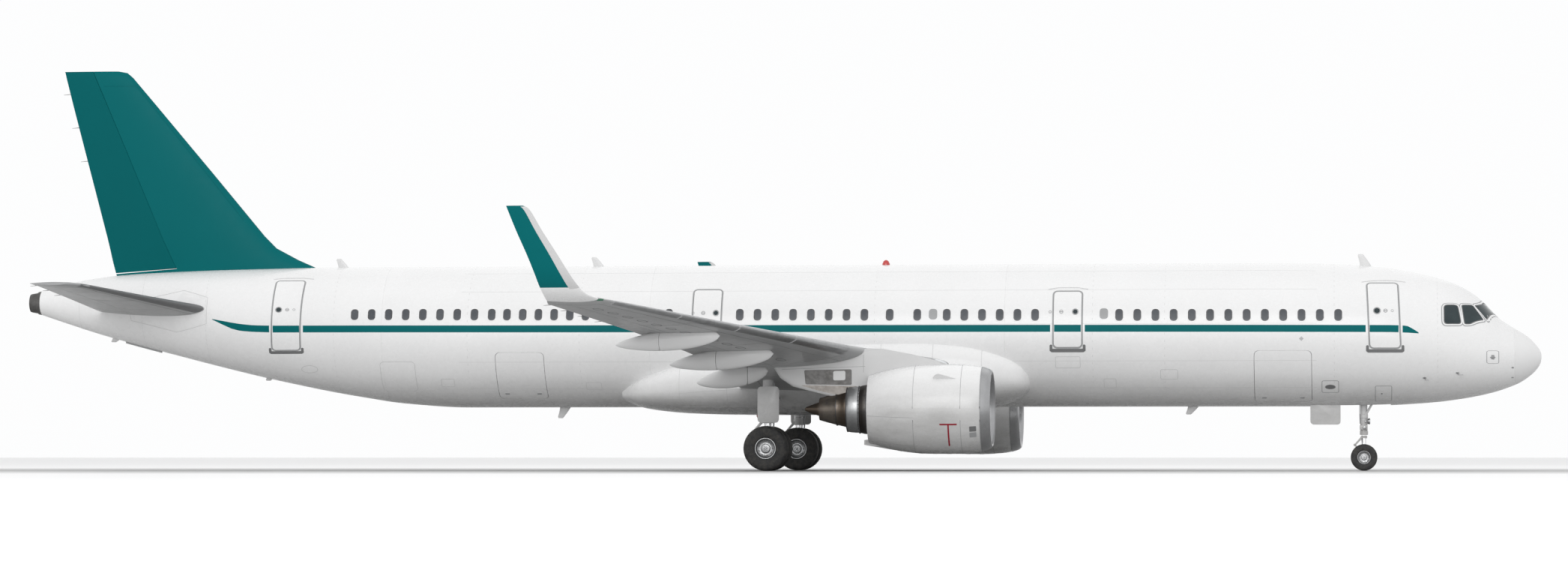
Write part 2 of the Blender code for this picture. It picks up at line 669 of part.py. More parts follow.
def add_control(name, plain, body, hinge, side, nose, aft, across, finish=None, carriers=()):
    """Part a control surface from the plain aerofoil, open its cove and pin it at its inner end."""
    surface = copy_object(name, plain, finish)
    keep_inside(surface, control_tool(name + "_nose", hinge, side, nose, aft, across, END_CLEAR))
    cut(body, control_tool(name + "_cove", hinge, side, nose + CLEAR, aft, across))
    foot, head = (place(s, side * y, z) for s, y, z in hinge)
    axis = (head - foot).normalized()
    pin_end, inside = foot - axis * HINGE_PIN_LENGTH, foot + axis * HINGE_PIN_LENGTH
    fuse(surface, as_tool(rod(name + "_pin", pin_end, inside, HINGE_PIN, WHITE)))
    bore = as_tool(rod(name + "_pin_bore", pin_end - axis * GAP, inside,
                       bore_radius(HINGE_PIN, ROD_SIDES), WHITE))
    for carrier in (body, *carriers):
        cut(carrier, bore)
    set_origin(surface, foot)
    return surface


def build_wing(side, label, seats):
    back, upward = Vector((-1, 0, 0)), Vector((0, 0, 1))
    wing = loft(f"wing_{label}", wing_rings(side), WHITE)
    plain = as_tool(copy_object(f"wing_plain_{label}", wing))
    tracks = [track_fairing(f"track_{number}_{label}", side, *track)
              for number, track in enumerate(TRACK_FAIRINGS, 1)]
    fuse(wing, *tracks)
    cut(wing, *seats)
    flaps = (
        ("flap_inboard", FLAP_INBOARD_FRONT, FLAP_INBOARD_AXIS, tracks[:1]),
        ("flap_outboard", FLAP_OUTBOARD_FRONT, FLAP_OUTBOARD_AXIS, tracks[1:]),
    )
    for name, front, axis, own_tracks in flaps:
        flap = copy_object(f"{name}_{label}", plain)
        fuse(flap, *own_tracks)
        keep_inside(flap, flap_bay(f"{name}_outline_{label}", side, front, END_CLEAR, CLEAR))
        cut(wing, flap_bay(f"{name}_bay_{label}", side, front))
        start, end = (place(s, side * y, z) for s, y, z in axis)
        reach = (end - start).normalized() * BARREL_LENGTH / 2
        for number, point in enumerate((end,) if own_tracks == tracks[:1] else (start, end)):
            barrel = f"{name}_barrel_{number}_{label}"
            fuse(flap, as_tool(rod(barrel, point - reach, point + reach, BARREL_RADIUS, WHITE, BARREL_SIDES)))
            cut(wing, as_tool(rod(barrel + "_seat", point - 2 * reach, point + 2 * reach,
                                  bore_radius(BARREL_RADIUS, BARREL_SIDES), WHITE, BARREL_SIDES)))
        set_origin(flap, start)
    add_control(f"aileron_{label}", plain, wing, AILERON_HINGE, side, AILERON_NOSE, back, upward)
    build_winglet(side, label)
    return wing, as_tool(loft(f"wing_seat_{label}", wing_rings(side, GAP), WHITE))


def build_winglet(side, label):
    rings = []
    for number, (y, leading, chord, z, cant, thickness) in enumerate(WINGLET_RIBS):
        angle = math.radians(cant)
        up = Vector((0, -side * math.sin(angle), math.cos(angle)))
        start = place(leading, side * (y + (GAP if number == 0 else 0)), z)
        rings.append(rib(start, start + Vector((-chord, 0, -0.05 if number == 0 else 0)), up, thickness))
    loft(f"winglet_{label}", rings, TEAL)


def build_tail(tail_cone):
    """Fin, rudder, tailplanes and elevators, seated on the tail cone's skin."""
    seat = as_tool(body_length("tail_seat", AFT_END - 0.5, CONE_END, WHITE, GAP))
    sideways, upward = Vector((0, 1, 0)), Vector((0, 0, 1))
    rings = [rib(place(leading, 0, z), place(trailing, 0, z), sideways, thickness)
             for z, leading, trailing, thickness in FIN_RIBS]
    fin = loft("fin", rings, TEAL)
    plain_fin = as_tool(copy_object("fin_plain", fin))
    cut(fin, seat)
    add_control("rudder", plain_fin, fin, RUDDER_HINGE, 1, RUDDER_NOSE, Vector((-1, 0, -0.075)), sideways,
                carriers=(tail_cone,))
    for side, label in ((-1, "right"), (1, "left")):
        rings = [rib(place(leading, side * y, z), place(trailing, side * y, z), upward, thickness)
                 for y, leading, trailing, z, thickness in TAILPLANE_RIBS]
        tailplane = loft(f"tailplane_{label}", rings, WHITE)
        plain = as_tool(copy_object(f"tailplane_plain_{label}", tailplane))
        cut(tailplane, seat)
        add_control(f"elevator_{label}", plain, tailplane, ELEVATOR_HINGE, side, ELEVATOR_NOSE,
                    Vector((-1, 0, 0)), upward)


def wall_radius(wall, station):
    """Radius of a cowl wall, on the straight lines between its outline's points."""
    for (s0, r0), (s1, r1) in zip(wall, wall[1:]):
        if s0 <= station <= s1:
            return r0 + (r1 - r0) * (station - s0) / (s1 - s0)
    return wall[-1][1]


def cowl_inner_radius(station):
    return wall_radius(sorted(COWL_OUTLINE[7:]), station)


def cowl_outer_radius(station):
    return wall_radius(COWL_OUTLINE[:7], station)


def build_fan(side, label):
    """Hub, spinner and blades as one wheel, the blades pulled out of every second hub face."""
    centre = place(FAN_STATION, side * ENGINE_Y, ENGINE_Z)
    bm = bmesh.new()
    bmesh.ops.create_cone(bm, cap_ends=True, segments=2 * FAN_BLADES, radius1=FAN_HUB, radius2=FAN_HUB,
                          depth=FAN_DEPTH)
    bm.transform(Matrix.Translation(centre) @ Matrix.Rotation(math.radians(90), 4, "Y"))
    front = max((f for f in bm.faces if len(f.verts) > 4), key=lambda f: f.calc_center_median().x)
    sides = [f for f in bm.faces if len(f.verts) == 4]
    sides.sort(key=lambda f: math.atan2(*(f.calc_center_median() - centre).yz))
    for face in sides[::2]:
        radial = face.calc_center_median() - centre
        radial.x = 0
        radial.normalize()
        blade = face
        for radius, turn in ((FAN_HUB + 0.28, 36), (FAN_RADIUS, 20)):
            blade = bmesh.ops.extrude_discrete_faces(bm, faces=[blade])["faces"][0]
            middle = blade.calc_center_median()
            shift = centre + radial * radius - middle
            bmesh.ops.translate(bm, verts=blade.verts, vec=shift)
            bmesh.ops.rotate(bm, verts=blade.verts, cent=middle + shift,
                             matrix=Matrix.Rotation(math.radians(turn), 3, radial))
    for reach, share in ((0.14, 0.9), (0.32, 0.5), (SPINNER_LENGTH, 0.06)):
        face = bmesh.ops.extrude_discrete_faces(bm, faces=[front])["faces"][0]
        for vert in face.verts:
            offset = vert.co - centre
            offset.x = 0
            offset = offset.normalized() * FAN_HUB * share
            vert.co = centre + offset + Vector((FAN_DEPTH / 2 + reach, 0, 0))
        front = face
    set_origin(add_object(f"fan_{label}", bm, TITANIUM), centre)


def build_core(side, label):
    """The engine block with its guide vanes, nozzle and exhaust plug."""
    centre = place(0, side * ENGINE_Y, ENGINE_Z)
    outline = [(CORE_OUTLINE[0][0], 0.0), *CORE_OUTLINE, (CORE_OUTLINE[-1][0], 0.0)]
    core = turned(f"engine_core_{label}", outline, centre, (-1, 0, 0), ENGINE_SIDES, HOT_METAL)
    bm = bmesh.new()
    bm.from_mesh(core.data)
    first, last = CORE_OUTLINE[1][0], CORE_OUTLINE[2][0]
    middle_x = NOSE_X - (first + last) / 2
    band = [f for f in bm.faces if abs(f.calc_center_median().x - middle_x) < 0.05]
    band.sort(key=lambda f: math.atan2(*(f.calc_center_median() - centre).yz))
    for face in band[::ENGINE_SIDES // VANES]:
        radial = face.calc_center_median() - centre
        radial.x = 0
        radial.normalize()
        blade = bmesh.ops.extrude_discrete_faces(bm, faces=[face])["faces"][0]
        for vert in blade.verts:
            wall = cowl_inner_radius(NOSE_X - vert.co.x) * math.cos(math.pi / ENGINE_SIDES) - GAP
            vert.co += radial * (wall - (vert.co - centre).dot(radial))
    bmesh.ops.recalc_face_normals(bm, faces=bm.faces)
    if bm.calc_volume(signed=True) < 0:
        bmesh.ops.reverse_faces(bm, faces=bm.faces)
    bm.to_mesh(core.data)
    bm.free()
    core.data.set_sharp_from_angle(angle=SMOOTH_ANGLE)
    return outline


def build_engine(side, label, wing_seat):
    axis, centre = (-1, 0, 0), place(0, side * ENGINE_Y, ENGINE_Z)
    lip = [(s - GAP if s == LIP_JOINT else s, r) for s, r in LIP_OUTLINE]
    turned(f"inlet_lip_{label}", lip, centre, axis, ENGINE_SIDES, POLISHED, closed=True)
    cowl = turned(f"cowl_{label}", COWL_OUTLINE, centre, axis, ENGINE_SIDES, WHITE, closed=True)
    for way, place_name in ((1, "outer"), (-1, "inner")):
        add_strake(f"strake_{place_name}_{label}", cowl, side, way)
    build_fan(side, label)
    core = build_core(side, label)
    outer = COWL_OUTLINE[:7]
    cowl_seat = [(outer[0][0], 0.0)] + [(s, r + GAP) for s, r in outer]
    cowl_seat += [(outer[-1][0] + GAP, outer[-1][1] + GAP), (outer[-1][0] + GAP, 0.0)]
    core_seat = [(s, r + 2 * GAP if r else 0.0) for s, r in core]
    tools = [as_tool(turned(f"{name}_{label}", outline, centre, axis, ENGINE_SIDES, WHITE))
             for name, outline in (("cowl_seat", cowl_seat), ("core_seat", core_seat))]
    sides = [place(s, side * ENGINE_Y - PYLON_HALF_WIDTH, z) for s, z in PYLON_OUTLINE]
    pylon = prism(f"pylon_{label}", sides, Vector((0, 2 * PYLON_HALF_WIDTH, 0)))
    cut(pylon, wing_seat, *tools)


def add_strake(name, cowl, side, way):
    """A thin triangular vane standing square to the cowl, on its outboard or inboard shoulder."""
    angle = math.radians(STRAKE_ANGLE)
    radial = Vector((0, side * way * math.cos(angle), math.sin(angle)))
    across = Vector((0, -radial.z, radial.y)) * STRAKE_THICKNESS
    skin = [cowl_outer_radius(station) + height for station, height in STRAKE_OUTLINE]
    outline = [place(station, side * ENGINE_Y, ENGINE_Z) + radial * radius - across / 2
               for (station, _), radius in zip(STRAKE_OUTLINE, skin)]
    fuse(cowl, as_tool(prism(name, outline, across)))


def torque_link(name, leg, station, y, link):
    """Two flat links that meet at a knee aft of the leg."""
    depth, low, knee, high, half_width, half_height = link
    for number, z in enumerate((low, high), 1):
        outline = [place(station + s, y - half_width, height + half_height * way)
                   for s, height, way in ((0, z, -1), (0, z, 1), (depth, knee, 1), (depth, knee, -1))]
        fuse(leg, as_tool(prism(f"{name}_{number}", outline, Vector((0, 2 * half_width, 0)))))


def wheel_pair(name, tyre_names, station, y, radius, track, width, hub_radius, shaft_radius):
    """Two wheels on one turning shaft, and their tyres, each resting on a flat facet."""
    grow = 1 / math.cos(math.pi / TYRE_SIDES)
    phase = math.pi / TYRE_SIDES
    centre = place(station, y, radius)
    rim = RIM_SHARE * width
    outer, inner = track / 2 + rim, track / 2 - rim
    outline = [(-outer, 0.0), (-outer, hub_radius), (-inner, hub_radius), (-inner, shaft_radius),
               (inner, shaft_radius), (inner, hub_radius), (outer, hub_radius), (outer, 0.0)]
    hub = turned(name, [(d, r * grow) for d, r in outline], centre, (0, 1, 0), TYRE_SIDES, STEEL, phase=phase)
    set_origin(hub, centre)
    half, bead, shoulder = width / 2, hub_radius + GAP, 0.3 * (radius - hub_radius)
    section = [(-0.8 * half, bead), (-half, bead + shoulder), (-half, radius - shoulder),
               (-0.7 * half, radius)]
    section += [(-d, r) for d, r in reversed(section)]
    for tyre_name, way in zip(tyre_names, (-1, 1)):
        ring = [(d + way * track / 2, r * grow) for d, r in section]
        tyre = turned(tyre_name, ring, centre, (0, 1, 0), TYRE_SIDES, RUBBER, closed=True, phase=phase)
        set_origin(tyre, centre)


def build_nose_gear():
    front, aft, half, roof = NOSE_BAY
    axle = NOSE_TYRE_RADIUS

    def point(z, y=0.0):
        return place(NOSE_GEAR, y, z)

    leg = rod("nose_gear_leg", point(NOSE_STEER_Z), point(roof - GAP), NOSE_LEG_RADIUS, WHITE)
    brace_end = place(front + NOSE_BRACE_INSET, 0, roof - NOSE_BRACE_INSET)
    fuse(leg, as_tool(rod("nose_drag_brace", point(NOSE_BRACE_FOOT), brace_end, NOSE_BRACE_RADIUS, WHITE)))
    strut = rod("nose_gear_strut", point(axle), point(NOSE_STEER_Z - GAP), NOSE_STRUT_RADIUS, STEEL)
    reach, radius = NOSE_EYE
    fuse(strut, as_tool(rod("nose_axle_eye", point(axle, -reach), point(axle, reach), radius, STEEL)))
    torque_link("nose_torque_link", strut, NOSE_GEAR, 0, NOSE_LINK)
    cut(strut, as_tool(rod("nose_axle_bore", point(axle, -2 * reach), point(axle, 2 * reach),
                           NOSE_SHAFT + SHAFT_GAP, STEEL, TYRE_SIDES)))
    set_origin(strut, point(NOSE_STEER_Z))
    wheel_pair("nose_wheels", ("nose_tyre_right", "nose_tyre_left"), NOSE_GEAR, 0, NOSE_TYRE_RADIUS,
               NOSE_TRACK, NOSE_TYRE_WIDTH, NOSE_HUB_RADIUS, NOSE_SHAFT)
    thickness, start, length, low, high = NOSE_DOOR
    for side, label in ((-1, "right"), (1, "left")):
        inner, outer = sorted((side * (half - thickness), side * (half - GAP)))
        box(f"nose_gear_door_{label}", (NOSE_X - aft - start, inner, low),
            (NOSE_X - aft - start + length, outer, high))


def add_jacking_pad(name, body, pad, side):
    station, y, face = pad
    fuse(body, as_tool(rod(name, place(station, side * y, face), place(station, side * y, face + 0.25),
                           JACKING_PAD_RADIUS, WHITE)))


def build_main_gear(side, label, wing):
    y = side * MAIN_GEAR_Y
    foot, top = place(MAIN_GEAR, y, MAIN_TYRE_RADIUS), place(MAIN_GEAR, y, MAIN_LEG_TOP)
    leg = rod(f"main_gear_leg_{label}", foot, top, MAIN_STRUT_RADIUS, WHITE)
    aft, forward, low, high, reach, thickness = MAIN_DOOR
    cylinder_z, cylinder_radius = MAIN_CYLINDER
    eye = Vector((0, MAIN_EYE[0], 0))
    brace_z, brace_forward, brace_y, brace_top, brace_radius = MAIN_BRACE
    link_z, link_radius = MAIN_DOOR_LINK
    parts = {
        "cylinder": (place(MAIN_GEAR, y, cylinder_z), top, cylinder_radius),
        "eye": (foot - eye, foot + eye, MAIN_EYE[1]),
        "brace": (place(MAIN_GEAR, y, brace_z), place(MAIN_GEAR - brace_forward, side * brace_y, brace_top),
                  brace_radius),
        "door_link": (place(MAIN_GEAR, y, link_z),
                      place(MAIN_GEAR, y + side * (reach + thickness / 2), link_z), link_radius),
    }
    tools = {key: as_tool(rod(f"main_{key}_{label}", *value, WHITE)) for key, value in parts.items()}
    inner, outer = sorted((y + side * reach, y + side * (reach + thickness)))
    door = as_tool(box(f"main_leg_door_{label}", (NOSE_X - MAIN_GEAR - aft, inner, low),
                       (NOSE_X - MAIN_GEAR + forward, outer, high)))
    fuse(leg, *tools.values(), door)
    torque_link(f"main_torque_link_{label}", leg, MAIN_GEAR, y, MAIN_LINK)
    cut(leg, as_tool(rod(f"main_axle_bore_{label}", foot - 2 * eye, foot + 2 * eye,
                         MAIN_SHAFT + SHAFT_GAP, WHITE, TYRE_SIDES)))
    for key in ("cylinder", "brace"):
        start, end, radius = parts[key]
        beyond = (end - start).normalized() * GAP
        cut(wing, as_tool(rod(f"main_{key}_socket_{label}", start, end + beyond, radius + GAP, WHITE)))
    tyres = (f"main_tyre_{label}_{'inner' if side > 0 else 'outer'}",
             f"main_tyre_{label}_{'outer' if side > 0 else 'inner'}")
    wheel_pair(f"main_wheels_{label}", tyres, MAIN_GEAR, y, MAIN_TYRE_RADIUS, MAIN_TRACK, MAIN_TYRE_WIDTH,
               MAIN_HUB_RADIUS, MAIN_SHAFT)


def main():
    clear_scene()
    make_root()
    build_fuselage()
    seats = build_belly_fairing()
    for side, label in ((-1, "right"), (1, "left")):
        wing, wing_seat = build_wing(side, label, seats)
        build_engine(side, label, wing_seat)
        build_main_gear(side, label, wing)
        add_jacking_pad(f"jacking_pad_{label}", wing, JACKING_PAD_WING, side)
    build_tail(bpy.data.objects["tail_cone"])
    build_nose_gear()


main()
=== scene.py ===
"""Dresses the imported 1:2 airliner model with its paint, glazing, engines, gear and small fittings.

Sizes are those of the full-size aircraft in metres, as in the model's own source, and place()
brings them to the model's half scale. Stations run aft from the nose tip, +Y is left, +Z is up.
"""

from functools import lru_cache
from math import asin, copysign, cos, dist, pi, radians, sin, sqrt, tan, tau

import bmesh
import bpy
from mathutils import Matrix, Vector


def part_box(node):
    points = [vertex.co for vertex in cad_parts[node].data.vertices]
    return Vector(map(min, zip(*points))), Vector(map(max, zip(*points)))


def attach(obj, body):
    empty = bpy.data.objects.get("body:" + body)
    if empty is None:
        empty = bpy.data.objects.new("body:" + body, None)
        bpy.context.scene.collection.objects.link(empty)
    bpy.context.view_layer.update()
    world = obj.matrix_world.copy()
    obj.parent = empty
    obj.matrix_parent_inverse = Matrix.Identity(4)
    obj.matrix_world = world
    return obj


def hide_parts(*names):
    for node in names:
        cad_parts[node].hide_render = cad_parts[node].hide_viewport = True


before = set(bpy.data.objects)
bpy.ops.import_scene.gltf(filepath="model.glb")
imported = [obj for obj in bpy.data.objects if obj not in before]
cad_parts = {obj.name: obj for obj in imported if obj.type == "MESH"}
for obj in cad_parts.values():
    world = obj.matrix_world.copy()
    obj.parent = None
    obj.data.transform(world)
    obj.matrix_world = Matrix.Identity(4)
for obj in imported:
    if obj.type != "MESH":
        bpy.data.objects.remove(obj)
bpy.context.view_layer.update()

bl_info = {
    "name": "Airliner dressing",
    "version": (1, 0, 0),
    "blender": (4, 5, 0),
    "location": "View3D > Sidebar > Airliner",
    "description": "Builds the outer skin, fittings and studio for the half-scale airliner",
    "category": "Object",
}

SCALE = 0.5
NOSE_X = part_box("radome")[1].x / SCALE
AIRFRAME = "airframe"
SIDES = ((-1, "right"), (1, "left"))
SMOOTH_ANGLE = radians(32)
FLUSH = 0.004           # how far a flush piece stands off the skin

# Fuselage outlines: (station, value)
TOP_LINE = (
    (0, 3.28), (0.06, 3.44), (0.15, 3.6), (0.36, 3.82), (0.58, 3.97), (0.79, 4.095), (1, 4.23),
    (1.22, 4.385), (1.43, 4.595), (1.64, 4.825), (1.85, 5.015), (2.07, 5.165), (2.49, 5.38), (2.93, 5.53),
    (3.78, 5.73), (4.63, 5.86), (5.71, 5.94), (6.78, 5.975), (8, 5.99), (34.2, 5.99), (35.93, 5.985),
    (37.78, 5.965), (39.84, 5.9), (41.9, 5.78), (43.15, 5.59), (44.17, 5.33),
)
BOTTOM_LINE = (
    (0, 3.24), (0.06, 3.06), (0.15, 2.89), (0.36, 2.695), (0.58, 2.545), (0.79, 2.445), (1.22, 2.29),
    (1.64, 2.18), (2.07, 2.095), (2.49, 2.03), (2.93, 1.975), (3.78, 1.91), (4.63, 1.87), (5.71, 1.852),
    (6.78, 1.85), (31.24, 1.85), (33.17, 1.97), (34.3, 2.135), (35.42, 2.33), (36.55, 2.56), (37.68, 2.81),
    (39.94, 3.375), (42.27, 4), (43.41, 4.36), (44.17, 4.615),
)
SIDE_LINE = (
    (0, 0.02), (0.06, 0.24), (0.15, 0.4), (0.36, 0.66), (0.58, 0.86), (0.79, 1.01), (1.22, 1.24),
    (1.64, 1.42), (2.07, 1.56), (2.49, 1.67), (2.93, 1.76), (3.78, 1.87), (4.63, 1.93), (5.71, 1.965),
    (6.78, 1.975), (31.24, 1.975), (33.17, 1.93), (35.42, 1.75), (37.68, 1.46), (39.94, 1.1), (41.9, 0.75),
    (43.15, 0.53), (44.17, 0.355),
)
WIDEST_LINE = (
    (0, 3.26), (0.58, 3.29), (1.64, 3.405), (2.93, 3.635), (4.63, 3.83), (6.78, 3.91), (31.24, 3.92),
    (35.42, 4.2), (39.94, 4.65), (44.17, 4.97),
)
NOSE_ROUND = 0.15       # up to here the nose tip is a round dome
BODY_SIDES = 128
SECTIONS = (
    ("radome", 0, 0.78), ("forward_fuselage", 0.78, 15.3), ("centre_fuselage", 15.3, 25.6),
    ("aft_fuselage", 25.6, 33.5), ("tail_cone", 33.5, 44.17),
)
JOINT_GROOVE = 0.007
CONE_END = 44.17
LENGTH = 44.51

# Doors: (name, station, width, sill, head, porthole offset, porthole radius, handle offset, sill
# plate, lean of the head aft per metre)
PASSENGER_DOORS = (
    ("1", 4.5, 0.84, 3.5, 5.34, 0.19, 0.078, -0.05, True, 0.037),
    ("2", 13.49, 0.79, 3.54, 5.13, -0.22, 0.063, 0.18, True, 0),
    ("3", 23.92, 0.8, 3.82, 5.22, -0.26, 0.063, 0.11, False, 0),
    ("4", 36.39, 0.84, 3.53, 5.55, 0.24, 0.075, -0.02, True, -0.024),
)
HOLD_DOORS = (
    ("hold_door_forward", "forward_fuselage", 7.36, 1.62, 1.98, 3.42),
    ("hold_door_aft", "aft_fuselage", 29.42, 1.42, 2.1, 3.42),
)
DOOR_RADIUS = 0.14
DOOR_DEPTH = 0.12
CLEAR = 0.012
NOSE_BAY = (4.3, 5.75, 0.36, 1, 2.75)

# Cabin windows: (first station, last station, number)
WINDOW_ROWS = (
    (5.786, 12.014, 13), (14.421, 16.963, 6), (17.814, 17.814, 1), (18.61, 18.61, 1),
    (19.342, 22.962, 8), (25.03, 26.495, 4), (27.01, 29.785, 7), (30.236, 34.31, 9),
)
WINDOW_RISE = 0.0039    # the rows climb this much per metre aft, about their middle
WINDOW_MIDDLE = 22
WINDOW_PLUGS = (12.451, 17.358)


def read_line(table, station):
    """Value of an outline at a station, on a monotone cubic through its points."""
    last = len(table) - 1
    if station <= table[0][0]:
        return table[0][1]
    if station >= table[last][0]:
        return table[last][1]
    rises = [(b[1] - a[1]) / (b[0] - a[0]) for a, b in zip(table, table[1:])]
    i = max(k for k in range(last) if table[k][0] <= station)

    def slope(k):
        if k == 0 or k == last:
            return rises[min(k, last - 1)]
        before, after = rises[k - 1], rises[k]
        if before * after <= 0:
            return 0
        return 2 * before * after / (before + after)

    width = table[i + 1][0] - table[i][0]
    t = (station - table[i][0]) / width
    value = table[i][1] * (1 + 2 * t) * (1 - t) ** 2 + table[i + 1][1] * t * t * (3 - 2 * t)
    return value + width * (slope(i) * t * (1 - t) ** 2 - slope(i + 1) * t * t * (1 - t))


def place(station, y, z):
    """A point of the full-size aircraft, in the model's metres."""
    return Vector((NOSE_X - station, y, z)) * SCALE


@lru_cache(maxsize=None)
def section(station):
    """Top, bottom, half width and widest height of the fuselage at a station."""
    tables = (TOP_LINE, BOTTOM_LINE, SIDE_LINE, WIDEST_LINE)
    if station >= NOSE_ROUND:
        return tuple(read_line(table, station) for table in tables)
    share = sqrt(max(0, station) / NOSE_ROUND)
    return tuple(table[0][1] + (read_line(table, NOSE_ROUND) - table[0][1]) * share for table in tables)


def skin(station, angle, side=1, lift=0):
    """A point on the fuselage skin, at an angle above level, stood off by a lift."""
    top, bottom, half, middle = section(round(station, 4))
    c, s = cos(angle), sin(angle)
    reach = top - middle if s > 0 else middle - bottom
    normal = Vector((c / half, s / reach)).normalized()
    return place(station, side * (half * c + lift * normal.x), middle + reach * s + lift * normal.y)


def skin_height(station, angle):
    top, bottom, _, middle = section(round(station, 4))
    return middle + (top - middle if angle > 0 else middle - bottom) * sin(angle)


def skin_angle(station, z):
    """Angle above level of the skin at a height."""
    top, bottom, _, middle = section(round(station, 4))
    reach = top - middle if z > middle else middle - bottom
    return asin(max(-1, min(1, (z - middle) / reach)))


def loft(bm, rings, wrap=False):
    """Extrude an outline from ring to ring, closed by faces at its ends or joined round on itself."""
    first = [bm.verts.new(point) for point in rings[0]]
    face = bm.faces.new(first)
    for ring in (rings[1:] + rings[:1] if wrap else rings[1:]):
        face = bmesh.ops.extrude_discrete_faces(bm, faces=[face])["faces"][0]
        for vert, point in zip(face.verts, ring):
            vert.co = point
    if wrap:
        last = list(face.verts)
        bmesh.ops.delete(bm, geom=[face], context="FACES_ONLY")
        bmesh.ops.weld_verts(bm, targetmap=dict(zip(last, first)))
    else:
        bm.faces.new(list(reversed(first)))


def soften(bm, edges, width, segments=2):
    bmesh.ops.bevel(bm, geom=list(edges), offset=width * SCALE, segments=segments, profile=0.5,
                    affect="EDGES", material=-1, clamp_overlap=True)


def cone_between(bm, low, high, radius, end_radius, sides):
    """A closed bar or cone between two points in the model's metres."""
    turn = (high - low).to_track_quat("Z", "Y").to_matrix().to_4x4()
    return bmesh.ops.create_cone(bm, cap_ends=True, segments=sides, radius1=radius * SCALE,
                                 radius2=end_radius * SCALE, depth=(high - low).length,
                                 matrix=Matrix.Translation((low + high) / 2) @ turn)["verts"]


def add_rod(bm, start, end, radius, sides=24, bevel=0, end_radius=None):
    """A round bar or cone between two full-size points, with softened ends."""
    end_radius = radius if end_radius is None else end_radius
    chosen = set(cone_between(bm, place(*start), place(*end), radius, end_radius, sides))
    if bevel:
        soften(bm, [e for e in bm.edges if e.verts[0] in chosen
            and any(len(f.verts) > 4 for f in e.link_faces)], bevel)


def add_box(bm, low, high, bevel=0.01):
    """A block between two full-size corners given as (station, y, z), with softened edges."""
    a, b = place(*low), place(*high)
    made = bmesh.ops.create_cube(bm, size=1)["verts"]
    size = Vector((abs(b.x - a.x), abs(b.y - a.y), abs(b.z - a.z)))
    bmesh.ops.transform(bm, matrix=Matrix.Translation((a + b) / 2) @ Matrix.Diagonal((*size, 1)), verts=made)
    if bevel:
        soften(bm, {e for v in made for e in v.link_edges}, bevel)


def add_turned(bm, outline, centre, axis, steps=96, wrap=False):
    """Spin (distance along, radius) points about an axis through a full-size centre."""
    along = Vector(axis).normalized()
    out = Vector((0, 0, 1)) if abs(along.z) < 0.9 else Vector((1, 0, 0))
    middle = place(*centre)
    verts = [bm.verts.new(middle + (along * distance + out * radius) * SCALE) for distance, radius in outline]
    pairs = list(zip(verts, verts[1:]))
    if wrap:
        pairs.append((verts[-1], verts[0]))
    edges = [bm.edges.new(pair) for pair in pairs]
    bmesh.ops.spin(bm, geom=verts + edges, cent=middle, axis=along, angle=tau, steps=steps, use_merge=True)


def smooth_rows(table, per_span):
    """More rows for a table or a path, on a curve through the given ones (Catmull-Rom)."""
    result = []
    last = len(table) - 1
    for k in range(last):
        near = table[max(0, k - 1)], table[k], table[k + 1], table[min(last, k + 2)]
        for n in range(per_span):
            t = n / per_span
            result.append(tuple(0.5 * (2 * q + (r - p) * t + (2 * p - 5 * q + 4 * r - s) * t * t
                + (3 * q - p - 3 * r + s) * t ** 3) for p, q, r, s in zip(*near)))
    return result + [table[last]]


def dress(obj, finish, body=AIRFRAME, replaced=(), angle=SMOOTH_ANGLE):
    """Give a piece its finish and the body that it rides on."""
    mesh = obj.data
    mesh.shade_smooth()
    mesh.set_sharp_from_angle(angle=angle)
    mesh.materials.clear()
    mesh.materials.append(bpy.data.materials[finish])
    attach(obj, body)
    if replaced:
        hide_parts(*replaced)
    return obj


def tool_from(name, bm):
    """An object from a closed bmesh, its faces outwards: a cutter, or a piece still to be dressed."""
    bmesh.ops.remove_doubles(bm, verts=bm.verts, dist=2e-6)
    bmesh.ops.recalc_face_normals(bm, faces=bm.faces)
    if bm.calc_volume(signed=True) < 0:
        bmesh.ops.reverse_faces(bm, faces=bm.faces)
    mesh = bpy.data.meshes.new(name)
    bm.to_mesh(mesh)
    bm.free()
    tool = bpy.data.objects.new(name, mesh)
    bpy.context.scene.collection.objects.link(tool)
    return tool


def add_piece(name, bm, finish, body=AIRFRAME, replaced=(), angle=SMOOTH_ANGLE):
    """Turn a closed bmesh into a piece that rides on a body and takes a finish."""
    return dress(tool_from(name, bm), finish, body, replaced, angle)


def add_pieces(ending, rows, body=AIRFRAME):
    """Several pieces of one body from (name, bmesh, finish) rows."""
    for name, bm, finish in rows:
        add_piece(name + ending, bm, finish, body)


def new_meshes(count):
    return [bmesh.new() for _ in range(count)]


def circle_angles(count, offset=0):
    return [tau * (k + offset) / count for k in range(count)]


def combine(obj, operation, *tools):
    """Apply exact booleans to an object and remove their tools."""
    for tool in tools:
        modifier = obj.modifiers.new("cut", "BOOLEAN")
        modifier.operation = operation
        modifier.object = tool
        modifier.solver = "EXACT"
    graph = bpy.context.evaluated_depsgraph_get()
    result = bpy.data.meshes.new_from_object(obj.evaluated_get(graph))
    obj.modifiers.clear()
    old, obj.data = obj.data, result
    result.name = obj.name
    bpy.data.meshes.remove(old)
    for tool in tools:
        bpy.data.objects.remove(tool)


def copy_piece(obj, name):
    twin = bpy.data.objects.new(name, obj.data.copy())
    twin.data.name = name
    bpy.context.scene.collection.objects.link(twin)
    return twin


def colour_of(name, description, default):
    return bpy.props.FloatVectorProperty(name=name, description=description, subtype="COLOR", default=default,
                                         min=0, max=1)


def length_of(name, description, default, lowest=0):
    return bpy.props.FloatProperty(name=name, description=description, subtype="DISTANCE", default=default,
                                   min=lowest)


